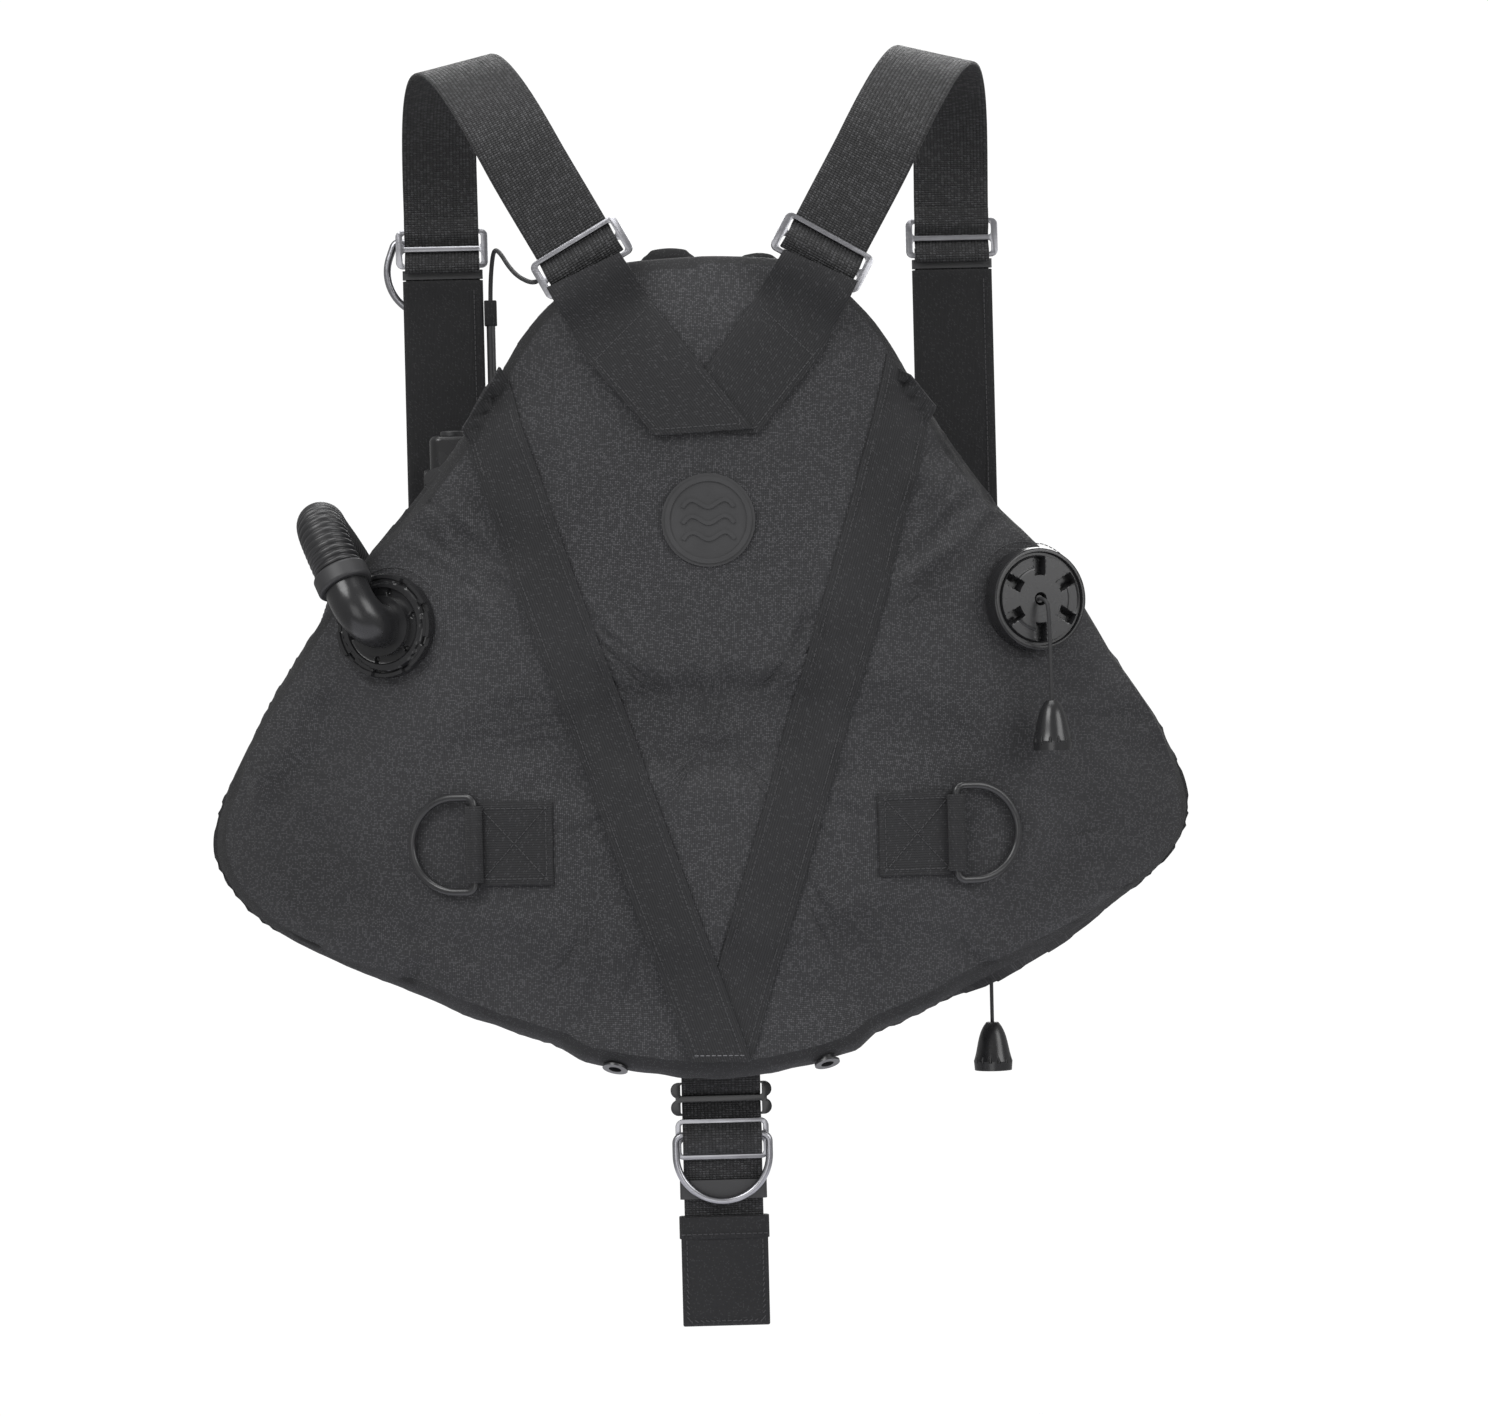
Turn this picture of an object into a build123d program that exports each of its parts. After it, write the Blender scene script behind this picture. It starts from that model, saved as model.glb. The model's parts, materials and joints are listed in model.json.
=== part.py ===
from build123d import *

import math
import os

os.makedirs("parts", exist_ok=True)

# Sidemount diving vest, hanging from its shoulder straps as it is worn.
# The diver faces +Y, so -Y is the outside of the wing on the back; +X is the diver's right, +Z is up.
# The origin is midway between the undersides of the two strap tops, where a hanger carries the vest.

# ---------------------------------------------------------------- driving dimensions (mm)

web = 50.0  # width of the harness webbing, which sets the scale of the whole vest
web_t = 2.2  # thickness of the webbing
gap = 0.3  # air between neighbouring soft pieces
steel_t = 3.0  # thickness of the steel sliders

wrap_r = 540.0  # the outer face of the wing wraps the diver's back on this radius
wrap_y = 415.0  # Y of the vertical axis of that wrap
wing_t = 50.0  # thickness of the half-filled wing
skin = 2.0  # thickness of a fabric panel
seam = 3.0  # width of the edge gusset's wall
inner_r = wrap_r - wing_t

ring_wire = 5.0  # wire of the D-rings
ring_w = 64.0  # D-rings, outside width
ring_depth = 47.0  # D-rings, outside depth

valve_x = 203.0  # both outer valves sit this far from the centre line
inflator_z = -360.0
dump_z = -353.0
lower_spot = (187.0, -556.0)  # X and Z of the lower valve, on the inner face
valve_r = 33.0
hose_d = 31.0  # corrugated hose, outside diameter
cord_d = 2.4  # pull cords of the two dump valves
bungee_d = 3.0  # elastic shock cord
knob_d = 25.0
knob_len = 31.0

strap_x = 172.0  # centre of each front shoulder strap
front_y = 104.0  # plane of the front straps
shoulder_y = -8.0  # centre of the bend over the shoulder
shoulder_depth = 112.0  # half depth of that bend
shoulder_rise = 90.0  # height of that bend
shoulder_tilt = 13.5  # the bend's axis dips outward by this many degrees
chest_z = -103.0  # chest sliders
slider_h = 26.0
slider_w = 62.0
back_slider = (73.4, -136.0)  # X and Z of the sliders at the back
back_turn = 29.0  # tilt of those sliders in degrees
back_lift = 7.6  # their height above the wing, over the two sewn tabs

belt_z = -500.0  # middle of the waist belt
belt_y = 104.6  # front run of the waist belt
crotch_y = -68.9  # plane of the crotch strap

# half outlines of the wing in X and Z, from the shoulder corner to the lobe's tip and to the bottom
left_flank = [(-104, -166), (-155, -236), (-210, -303), (-263, -370), (-308, -437)]
left_lobe = [(-331.5, -502), (-298, -551), (-232, -583), (-160, -614), (-84, -638), (0, -650)]
right_flank = [(101, -166), (150, -236), (202, -305), (254, -373), (300, -437)]
right_lobe = [(316, -496), (279, -541), (220, -574), (152, -608), (80, -636), (0, -650)]
shoulder_corner = (60, -137)


sides = {"left": -1, "right": 1}


def mirrored(side, points):
    return [(side * x, z) for x, z in points]


# ---------------------------------------------------------------- places on the wing


def on_wing(x, z, out=0.0):
    # plane lying on the outer face at x, z, raised by `out`, with its Y axis upwards
    turn = math.asin(x / wrap_r)
    reach = wrap_r + out
    return Plane(
        origin=(reach * math.sin(turn), wrap_y - reach * math.cos(turn), z),
        x_dir=(math.cos(turn), math.sin(turn), 0),
        z_dir=(math.sin(turn), -math.cos(turn), 0),
    )


def on_lining(x, z, out=0.0):
    # the same on the inner face, looking towards the diver
    turn = math.asin(x / inner_r)
    reach = inner_r - out
    return Plane(
        origin=(reach * math.sin(turn), wrap_y - reach * math.cos(turn), z),
        x_dir=(-math.cos(turn), -math.sin(turn), 0),
        z_dir=(-math.sin(turn), math.cos(turn), 0),
    )


outline_plane = Plane.XZ.offset(-90)  # all outlines are drawn here and cut towards -Y
outline_reach = 290.0


def wing_half(side, inset):
    # points of one half of the outline, each moved inwards by the inset
    points = [shoulder_corner] + (right_flank + right_lobe if side > 0 else left_flank + left_lobe)
    points = [(abs(x), z) for x, z in points]
    moved = [(points[0][0], points[0][1] - inset)]
    for before, here, after in zip(points, points[1:], points[2:]):
        way = (Vector(*after) - Vector(*before)).normalized()
        moved.append((here[0] + inset * way.Y, here[1] - inset * way.X))
    moved.append((0, points[-1][1] + inset))
    return mirrored(side, moved)


def wing_outline(inset):
    left = wing_half(-1, inset)
    right = wing_half(1, inset)
    with BuildSketch(outline_plane) as face:
        with BuildLine():
            ThreePointArc(left[0], (0, left[0][1] + 4), right[0])
            Spline(*right)
            Spline(*left)
        make_face()
    return face.sketch


def polygon_outline(points):
    with BuildSketch(outline_plane) as face:
        with BuildLine():
            Polyline(*points, close=True)
        make_face()
    return face.sketch


def wrap_layer(outline, low_r, high_r):
    # the slice of an outline's prism between two radii of the wrap
    with BuildPart() as layer:
        extrude(outline, amount=outline_reach)
        with BuildSketch(Plane.XY.offset(-700)) as ring:
            with Locations((0, wrap_y)):
                Circle(high_r)
                Circle(low_r, mode=Mode.SUBTRACT)
        extrude(ring.sketch, amount=640, mode=Mode.INTERSECT)
    return layer


def save(block, label):
    block.part.label = label
    export_step(block.part, f"parts/{label}.step")


# ---------------------------------------------------------------- the wing

valve_bore = 21.0
eyelet_spots = [(-66, -108, -639), (66, -108, -639)]
eyelet_r = 8.0
eyelet_bore = 4.0


def eyelet_plane(spot, out=0.0):
    # the eyelets look down and outwards through the slanted lower edge
    normal = Vector(0.2 * math.copysign(1, spot[0]), -0.42, -0.885).normalized()
    return Plane(origin=Vector(*spot) + normal * out, x_dir=(1, 0, 0.2), z_dir=normal)


inflator_seat = on_wing(-valve_x, inflator_z)
dump_seat = on_wing(valve_x, dump_z)
lower_seat = on_lining(*lower_spot, 1.1)


def cut_eyelet_holes(radius):
    for spot in eyelet_spots:
        with BuildSketch(eyelet_plane(spot, 24)) as hole:
            Circle(radius)
        extrude(hole.sketch, amount=-36, mode=Mode.SUBTRACT)


def cut_wing_openings(depth, bore, eyelet_hole):
    # holes for the two outer valves, the lower valve and the eyelets
    for seat in (inflator_seat, dump_seat, lower_seat):
        with BuildSketch(seat.offset(2)) as valve_hole:
            Circle(bore)
        extrude(valve_hole.sketch, amount=-depth - 2, mode=Mode.SUBTRACT)
    cut_eyelet_holes(eyelet_hole)


with BuildPart() as outer_panel:
    add(wrap_layer(wing_outline(seam + gap), wrap_r - skin, wrap_r).part)
    cut_wing_openings(12, valve_bore, eyelet_r + 2)
save(outer_panel, "outer_panel")

with BuildPart() as inner_panel:
    add(wrap_layer(wing_outline(seam + gap), inner_r, inner_r + skin).part)
    cut_wing_openings(12, valve_bore, eyelet_r + 2)
save(inner_panel, "inner_panel")

with BuildPart() as edge_gusset:
    add(wrap_layer(wing_outline(0), inner_r, wrap_r).part)
    add(wrap_layer(wing_outline(seam), inner_r - 5, wrap_r + 5).part, mode=Mode.SUBTRACT)
    cut_eyelet_holes(eyelet_r + 1)
save(edge_gusset, "edge_gusset")

with BuildPart() as air_bladder:
    add(wrap_layer(wing_outline(seam + 1), inner_r + skin + gap, wrap_r - skin - gap).part)
    cut_wing_openings(17, valve_bore + 2, eyelet_r + 3)
save(air_bladder, "air_bladder")

with BuildPart() as eyelets:
    for spot in eyelet_spots:
        with BuildSketch(eyelet_plane(spot, -4)):
            Circle(eyelet_bore + 1.2)
            Circle(eyelet_bore, mode=Mode.SUBTRACT)
        extrude(amount=5)
        with BuildSketch(eyelet_plane(spot, 0.2)):
            Circle(eyelet_r)
            Circle(eyelet_bore, mode=Mode.SUBTRACT)
        extrude(amount=1.4)
save(eyelets, "eyelets")

# inspection zip of the inner panel, with the slider that closes it
zip_x = -150.0
zip_low = -468.0
zip_high = -300.0
zip_width = 14.0
zip_outline = polygon_outline(
    [(zip_x - zip_width / 2, z) for z in (zip_low, zip_high)]
    + [(zip_x + zip_width / 2, z) for z in (zip_high, zip_low)]
)
save(wrap_layer(zip_outline, inner_r - 2.4, inner_r - gap), "zip_tape")

slider_seat = on_lining(zip_x, zip_high - 14, 3.0)
with BuildPart() as zip_slider:
    with BuildSketch(slider_seat):
        RectangleRounded(10, 15, 3)
    extrude(amount=4)
    with BuildSketch(slider_seat.offset(4)):
        with Locations((0, -9)):
            SlotOverall(26, 7, rotation=90)
            Circle(2, mode=Mode.SUBTRACT)
    extrude(amount=1.6)
save(zip_slider, "zip_slider")

# ---------------------------------------------------------------- straps sewn to the outer face

v_left = [(-127.7, -201), (18.8, -636.6), (-18.4, -636), (-153.6, -239)]
v_right = [(117.7, -197), (-19, -636), (18.5, -636.5), (146, -231)]
save(wrap_layer(polygon_outline(v_left), wrap_r + gap + 1.5, wrap_r + gap + 3.0), "v_strap_left")
save(wrap_layer(polygon_outline(v_right), wrap_r + gap, wrap_r + gap + 1.2), "v_strap_right")

yoke_left = [(-91.5, -159), (-73.4, -197.6), (-31.8, -247), (29, -244), (-2, -204), (-33, -162), (-47, -139)]
save(wrap_layer(polygon_outline(yoke_left), wrap_r + 2.6, wrap_r + 4.6), "yoke_tab_left")
yoke_right = mirrored(-1, yoke_left)
save(wrap_layer(polygon_outline(yoke_right), wrap_r + gap, wrap_r + 2.3), "yoke_tab_right")

# generic round moulded patch with a raised rim and three plain waves
patch_r = 29.0
with BuildPart() as badge_patch:
    with BuildSketch(on_wing(0, -300, 0.3)):
        Circle(patch_r)
    extrude(amount=2)
    with BuildSketch(on_wing(0, -300, 2.3)):
        Circle(patch_r - 2)
        Circle(patch_r - 5, mode=Mode.SUBTRACT)
    extrude(amount=1)
    for row in (-10, 0, 10):
        with BuildSketch(on_wing(0, -300 + row, 2.3)):
            with BuildLine():
                Spline((-16, -2), (-8, 2), (0, -2), (8, 2), (16, -2))
            trace(line_width=2.4)
        extrude(amount=1)
save(badge_patch, "badge_patch")

# ---------------------------------------------------------------- D-rings

ring_r = ring_wire / 2
ring_half = (ring_w - ring_wire) / 2
ring_corner = 5.0
ring_reach = ring_depth - ring_wire - ring_half


def d_ring(plane, wire_r):
    # D of round wire: its straight bar on the plane's Y axis, and its bow out along the X axis
    with BuildPart() as ring:
        with BuildLine(plane) as half:
            Line((0, 0), (0, ring_half - ring_corner))
            RadiusArc((0, ring_half - ring_corner), (ring_corner, ring_half), ring_corner)
            Line((ring_corner, ring_half), (ring_reach, ring_half))
            RadiusArc((ring_reach, ring_half), (ring_reach + ring_half, 0), ring_half)
        with BuildSketch(Plane(origin=plane.origin, x_dir=plane.x_dir, z_dir=plane.y_dir)) as wire:
            Circle(wire_r)
        sweep(wire.sketch, path=half.wires()[0])
        mirror(about=Plane(origin=plane.origin, x_dir=plane.x_dir, z_dir=plane.y_dir))
    return ring


tab_x = 125.0
tab_z = -498.0
tab_w = 48.0
tab_h = 52.0
roll_r = 5.4
bar_play = 0.3
bar_x = tab_x + tab_w / 2
bar_out = roll_r + 0.4

for name, side in sides.items():
    hinge = on_wing(side * bar_x, tab_z, bar_out)
    corner = [(-1, -1), (1, -1), (1, 1), (-1, 1)]
    tab_face = [(side * tab_x + tab_w / 2 * i, tab_z + tab_h / 2 * j) for i, j in corner]
    with BuildPart() as tab:
        add(wrap_layer(polygon_outline(tab_face), wrap_r + gap, wrap_r + 2.6).part)
        with BuildSketch(Plane(origin=hinge.origin, x_dir=hinge.x_dir, z_dir=(0, 0, 1))):
            Circle(roll_r)
        extrude(amount=24, both=True)
        with BuildSketch(Plane(origin=hinge.origin, x_dir=hinge.x_dir, z_dir=(0, 0, 1))):
            Circle(ring_r + bar_play)
        extrude(amount=40, both=True, mode=Mode.SUBTRACT)
    save(tab, f"d_ring_tab_{name}")
    lean = hinge.x_dir * side
    lie = (lean - hinge.z_dir * 0.07).normalized()
    ring_plane = Plane(origin=hinge.origin, x_dir=lie, z_dir=lie.cross(Vector(0, 0, 1)))
    save(d_ring(ring_plane, ring_r), f"back_d_ring_{name}")

# ---------------------------------------------------------------- back plate, pad and collar

plate = [(-52, -207), (52, -207), (52, -446), (105, -464), (105, -552), (-105, -552), (-105, -464), (-52, -446)]
save(wrap_layer(polygon_outline(plate), inner_r - 4.0, inner_r - gap), "back_plate")

pad = [(-46, -215), (46, -215), (46, -442), (-46, -442)]
with BuildPart() as back_pad:
    add(wrap_layer(polygon_outline(pad), inner_r - 18, inner_r - 4.3).part)
    fillet(back_pad.edges().filter_by(Axis.Y, tolerance=10), 12)
save(back_pad, "back_pad")

for name, side in sides.items():
    with BuildSketch(outline_plane) as lobe_face:
        with Locations((side * 31 + 3, -160)):
            Ellipse(29, 38)
    save(wrap_layer(lobe_face.sketch, inner_r - 16, inner_r - gap), f"collar_lobe_{name}")

# ---------------------------------------------------------------- sliders and shoulder straps

slot_h = 8.5
bar_h = 3.4


def cut_slider(plane, width, height, thickness):
    # a frame with a centre bar; the webbing goes behind the ends and over the bar
    with BuildSketch(plane.offset(-thickness / 2)) as frame:
        RectangleRounded(width, height, 4.5)
        with Locations((0, bar_h / 2 + slot_h / 2), (0, -bar_h / 2 - slot_h / 2)):
            RectangleRounded(web + 3, slot_h, 2, mode=Mode.SUBTRACT)
    extrude(frame.sketch, amount=thickness)


def chest_plane(side):
    return Plane(origin=(side * strap_x, front_y, chest_z), x_dir=(1, 0, 0), z_dir=(0, -1, 0))


def back_plane(side):
    seat = on_wing(side * back_slider[0], back_slider[1], back_lift)
    turn = math.radians(-side * back_turn)
    x_dir = seat.x_dir * math.cos(turn) + seat.y_dir * math.sin(turn)
    return Plane(origin=seat.origin, x_dir=x_dir, z_dir=seat.z_dir)


with BuildPart() as chest_buckles:
    for side in sides.values():
        cut_slider(chest_plane(side), slider_w, slider_h, steel_t)
save(chest_buckles, "chest_buckles")

with BuildPart() as back_buckles:
    for side in sides.values():
        cut_slider(back_plane(side), slider_w, slider_h, steel_t)
save(back_buckles, "back_buckles")

behind = steel_t / 2 + gap + web_t / 2  # the webbing's mid plane behind a slider's frame
approach = 22.0  # length of webbing that lies in the slider's own plane
thread_path = [(-6.6, -0.5), (-2.2, 1), (2.2, 1), (9.0, -1), (approach, -1)]


def thread_sections(plane, face, way):
    # mitred sections of the webbing's run through a slider, with their thickness, from the free end up;
    # face is 1 where it crosses in front of the centre bar, -1 behind it; way is -1 for a downward run
    spots = [plane.origin + plane.y_dir * u + plane.z_dir * (face * behind * v) for u, v in thread_path]
    runs = [(above - below).normalized() for below, above in zip(spots, spots[1:])]
    sections = []
    for spot, before, after in zip(spots, runs[:1] + runs, runs + runs[-1:]):
        run = (before + after).normalized()
        section = Plane(origin=spot, x_dir=plane.x_dir, z_dir=run * way)
        sections.append((section, web_t / run.dot(after)))
    return sections


tilt = math.radians(shoulder_tilt)
along = Vector(math.cos(tilt), 0, -math.sin(tilt))  # axis of the shoulder bend, outwards
rise = Vector(math.sin(tilt), 0, math.cos(tilt))
drift = -shoulder_rise * math.tan(tilt)  # travel along that axis for each radian of wrap
foot_z = web_t / 2 - shoulder_rise * math.cos(tilt) + drift * math.sin(tilt) * math.pi / 2
front_foot = Vector(strap_x, shoulder_y, foot_z)


def wrap_section(angle):
    # plane square to the right strap at this angle of wrap, 0 in front and 180 at the back
    turn = math.radians(angle)
    spot = front_foot + along * (drift * turn) + rise * (shoulder_rise * math.sin(turn))
    spot += Vector(0, shoulder_depth * math.cos(turn), 0)
    round_way = rise * (shoulder_rise * math.cos(turn)) - Vector(0, shoulder_depth * math.sin(turn), 0)
    run = (along * drift + round_way).normalized()
    outward = round_way.normalized().cross(along)
    across = outward.cross(run).normalized()
    return Plane(origin=spot, x_dir=across, z_dir=run)


strap_sections = thread_sections(chest_plane(1), -1, 1)
strap_sections += [(wrap_section(angle), web_t) for angle in range(0, 181, 15)]
strap_sections += thread_sections(back_plane(1), 1, -1)[::-1]
with BuildPart() as right_strap:
    for section, thickness in reversed(strap_sections):
        with BuildSketch(section):
            Rectangle(web, thickness)
    loft(ruled=True)
with BuildPart() as left_strap:
    mirror(right_strap.part, about=Plane.YZ)
save(right_strap, "shoulder_strap_right")
save(left_strap, "shoulder_strap_left")

# ---------------------------------------------------------------- front straps, sleeves and waist belt

chest_y = front_y + 5.0  # the lower webbing lies behind the shoulder webbing
sleeve_top = -124.0
sleeve_low = -284.0
strap_bend_z = -302.0
sleeve_w = 54.0
sleeve_t = 8.0
hip_x = 95.0  # where the front straps are looped round the waist belt
loop_wall = 2.0
loop_h = 58.0


def front_run(side):
    # centre line of a front strap in X and Z: down through the sleeve, then in to the belt
    return [(side * strap_x, chest_z - 6), (side * strap_x, strap_bend_z), (side * hip_x, belt_z - 22)]


for name, side in sides.items():
    top, bend, foot = front_run(side)
    with BuildPart() as chest_strap:
        with BuildSketch(Plane.XZ.offset(-chest_y - web_t / 2)) as run:
            with BuildLine():
                FilletPolyline(top, bend, foot, radius=90)
            trace(line_width=web)
        extrude(run.sketch, amount=web_t)
        with BuildSketch(Plane.YZ.offset(side * hip_x)) as hoop:
            with Locations((belt_y, belt_z)):
                Rectangle(web_t + 1.2 + 2 * loop_wall, loop_h)
                Rectangle(web_t + 1.2, loop_h - 2 * loop_wall, mode=Mode.SUBTRACT)
        extrude(hoop.sketch, amount=27, both=True)
    save(chest_strap, f"chest_strap_{name}")

    with BuildPart() as chest_sleeve:
        with BuildSketch(Plane.XY.offset(sleeve_low)):
            with Locations((side * strap_x, chest_y)):
                RectangleRounded(sleeve_w, sleeve_t, 2)
                Rectangle(web + 1.2, web_t + 1.2, mode=Mode.SUBTRACT)
        extrude(amount=sleeve_top - sleeve_low)
    save(chest_sleeve, f"chest_sleeve_{name}")

with BuildPart() as strap_keepers:
    for side in sides.values():
        with BuildSketch(Plane.XY.offset(chest_z - 20)):
            with Locations((side * strap_x, chest_y - 0.6)):
                RectangleRounded(web + 4, web_t + 2.6, 1.5)
            with Locations((side * strap_x, chest_y)):
                Rectangle(web + 0.8, web_t + 0.6, mode=Mode.SUBTRACT)
        extrude(amount=6)
save(strap_keepers, "strap_keepers")

belt_run = [(3, belt_y), (190, belt_y), (190, -20), (130, -52), (80, -62.6)]
belt_bends = [60, 60, 50]
for name, side in sides.items():
    with BuildPart() as waist_belt:
        with BuildSketch(Plane.XY.offset(belt_z - web / 2)):
            with BuildLine():
                FilletPolyline(*[(side * x, y) for x, y in belt_run], radius=belt_bends)
            trace(line_width=web_t)
        extrude(amount=web)
    save(waist_belt, f"waist_belt_{name}")

# cam buckle of the waist belt: a plate with two ears, and a lever on a pin between them
plate_w = 64.0
plate_h = 62.0
plate_y = belt_y + web_t / 2 + gap
pin_x = 22.0
pin_y = plate_y + 2 + 4.4
pin_r = 2.2
lever_len = 48.0
with BuildPart() as waist_buckle_frame:
    with BuildSketch(Plane.XZ.offset(-plate_y - 2)):
        with Locations((0, belt_z)):
            RectangleRounded(plate_w, plate_h, 5)
            with Locations((-18, 0)):
                RectangleRounded(12, web + 2, 2, mode=Mode.SUBTRACT)
    extrude(amount=2)
    for end in (-1, 1):
        with BuildSketch(Plane.XY.offset(belt_z + end * (plate_h / 2 - 1.5) - 1.5)):
            with Locations((pin_x, pin_y - 2.2)):
                Rectangle(9, 8.8)
            with Locations((pin_x, pin_y)):
                Circle(pin_r + 0.2, mode=Mode.SUBTRACT)
        extrude(amount=3)
save(waist_buckle_frame, "waist_buckle_frame")

with BuildPart() as waist_buckle_lever:
    with BuildSketch(Plane.XY.offset(belt_z - plate_h / 2)):
        with Locations((pin_x, pin_y)):
            Circle(pin_r)
    extrude(amount=plate_h)
    with BuildSketch(Plane.XY.offset(belt_z - plate_h / 2 + 3.6)):
        with Locations((pin_x, pin_y)):
            Circle(4.0)
        with Locations((pin_x - lever_len / 2, pin_y + 3)):
            Rectangle(lever_len, 2)
    extrude(amount=plate_h - 7.2)
save(waist_buckle_lever, "waist_buckle_lever")

# ---------------------------------------------------------------- crotch strap

crotch_top = -556.0
crotch_foot = -750.0
black_z = -664.0
steel_z = -689.0
crotch_wire = 4.5
bar_z = -686.0  # straight bar of the crotch D-ring
keeper_z = -721.0
end_top = -738.0
end_low = -808.0
end_w = 55.0
end_t = 9.0
tunnel_t = 5.0
black_t = 3.0
steel_slide_t = 2.6
black_y = crotch_y + behind  # the webbing crosses in front of this slider's outer bars
steel_y = crotch_y - behind  # and behind those of this one
crotch_bar_y = steel_y - steel_slide_t / 2 - gap - crotch_wire / 2
hump_y = crotch_bar_y - crotch_wire / 2 - gap - web_t / 2

crotch_path = [
    (crotch_y, crotch_top),
    (crotch_y, black_z + 9),
    (crotch_y + 2 * behind, black_z + 2.2),
    (crotch_y + 2 * behind, black_z - 2.2),
    (crotch_y, black_z - 9),
    (crotch_y, steel_z + 8.8),
    (hump_y, steel_z + 6.6),
    (hump_y, steel_z - 6.6),
    (crotch_y, steel_z - 8.8),
    (crotch_y, crotch_foot),
]


with BuildPart() as crotch_strap:
    with BuildSketch(Plane.YZ):
        with BuildLine():
            FilletPolyline(*crotch_path, radius=1.3)
        trace(line_width=web_t)
    extrude(amount=web / 2, both=True)
save(crotch_strap, "crotch_strap")

with BuildPart() as crotch_slider_black:
    with BuildSketch(Plane.XZ.offset(-black_y - black_t / 2)):
        with Locations((0, black_z)):
            RectangleRounded(web + 8, 21, 3)
            with Locations((-27, 5.5), (27, 5.5), (-27, -5.5), (27, -5.5)):
                Circle(5)
            with Locations((0, 5.6), (0, -5.6)):
                RectangleRounded(web + 1.6, 7.4, 1, mode=Mode.SUBTRACT)
    extrude(amount=black_t)
save(crotch_slider_black, "crotch_slider_black")

with BuildPart() as crotch_slider_steel:
    with BuildSketch(Plane.XZ.offset(-steel_y - steel_slide_t / 2)):
        with Locations((0, steel_z)):
            RectangleRounded(web + 9, 25.5, 5)
            with Locations((0, 5.6), (0, -5.6)):
                RectangleRounded(web + 2, 8.8, 2, mode=Mode.SUBTRACT)
    extrude(amount=steel_slide_t)
save(crotch_slider_steel, "crotch_slider_steel")

crotch_hinge = Plane(origin=(0, crotch_bar_y, bar_z), x_dir=(0, 0, -1), z_dir=(0, -1, 0))
save(d_ring(crotch_hinge, crotch_wire / 2), "crotch_d_ring")

with BuildPart() as crotch_keeper:
    with BuildSketch(Plane.XY.offset(keeper_z - 6)):
        with Locations((0, crotch_y)):
            RectangleRounded(web + 5, web_t + 5, 2)
            Rectangle(web + 0.8, web_t + 0.8, mode=Mode.SUBTRACT)
    extrude(amount=12)
save(crotch_keeper, "crotch_keeper")

# the strap ends in a wide flat loop that the waist belt can pass through
with BuildPart() as crotch_end_loop:
    with BuildSketch(Plane.YZ):
        with Locations((crotch_y, (end_top + end_low) / 2)):
            RectangleRounded(end_t, end_top - end_low, 3)
        with Locations((crotch_y, (end_top - 16 + end_low + 2) / 2)):
            Rectangle(tunnel_t, end_top - 16 - end_low - 2, mode=Mode.SUBTRACT)
    extrude(amount=end_w / 2, both=True)
    with BuildSketch(Plane.XY.offset(end_top + 1)):
        with Locations((0, crotch_y)):
            Rectangle(web + 0.8, web_t + 0.8)
    extrude(amount=-14, mode=Mode.SUBTRACT)
save(crotch_end_loop, "crotch_end_loop")

# ---------------------------------------------------------------- valves

neck_r = 20.0
neck_wall = 4.0
flange_t = 5.0
cap_hole = 4.0
cap_top = 13.0
cap_plate = 3.0
arm_count = 6
poppet_r = 14.0
stem_r = 2.4


def valve_flange(seat, radius):
    # flat flange with its threaded neck reaching in through the panel
    with BuildPart() as flange:
        with BuildSketch(seat.offset(gap)) as disc:
            Circle(radius)
            Circle(neck_r - neck_wall, mode=Mode.SUBTRACT)
        extrude(disc.sketch, amount=flange_t)
        with BuildSketch(seat.offset(-14)) as neck:
            Circle(neck_r)
            Circle(neck_r - neck_wall, mode=Mode.SUBTRACT)
        extrude(neck.sketch, amount=15)
    return flange


def dump_valve(seat, radius):
    # flange, rim and a cap with openings between its arms and a guide hole for the cord
    with BuildPart() as valve:
        add(valve_flange(seat, radius).part)
        with BuildSketch(seat.offset(flange_t)) as rim:
            Circle(radius - 1)
            Circle(radius - 5, mode=Mode.SUBTRACT)
        extrude(rim.sketch, amount=cap_top - flange_t)
        with BuildSketch(seat.offset(cap_top - cap_plate)) as cap:
            Circle(radius - 1)
            Circle(cap_hole, mode=Mode.SUBTRACT)
            with PolarLocations(radius - 12, arm_count):
                SlotOverall(12, 6.5, mode=Mode.SUBTRACT)
        extrude(cap.sketch, amount=cap_plate)
    return valve


def poppet(seat):
    # disc that seals the neck, with the stem that the cord is tied to
    with BuildPart() as disc:
        with BuildSketch(seat.offset(-4)) as plate_face:
            Circle(poppet_r)
        extrude(plate_face.sketch, amount=4)
        with BuildSketch(seat.offset(-1)) as stem:
            Circle(stem_r)
        extrude(stem.sketch, amount=cap_top - 1)
    return disc


lower_valve_r = 28.0
save(valve_flange(inflator_seat, valve_r), "inflator_flange")
save(dump_valve(dump_seat, valve_r), "dump_valve_body")
save(poppet(dump_seat), "dump_poppet")
save(dump_valve(lower_seat, lower_valve_r), "lower_valve_body")
save(poppet(lower_seat), "lower_poppet")

# ---------------------------------------------------------------- hoses and cords


def bend_radii(points):
    # the largest arc that the two runs allow at each corner
    radii = []
    for before, here, after in zip(points, points[1:], points[2:]):
        arriving = Vector(*here) - Vector(*before)
        leaving = Vector(*after) - Vector(*here)
        half_turn = math.radians(arriving.get_angle(leaving) / 2)
        radii.append(0.45 * min(arriving.length, leaving.length) / math.tan(half_turn))
    return radii


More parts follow.
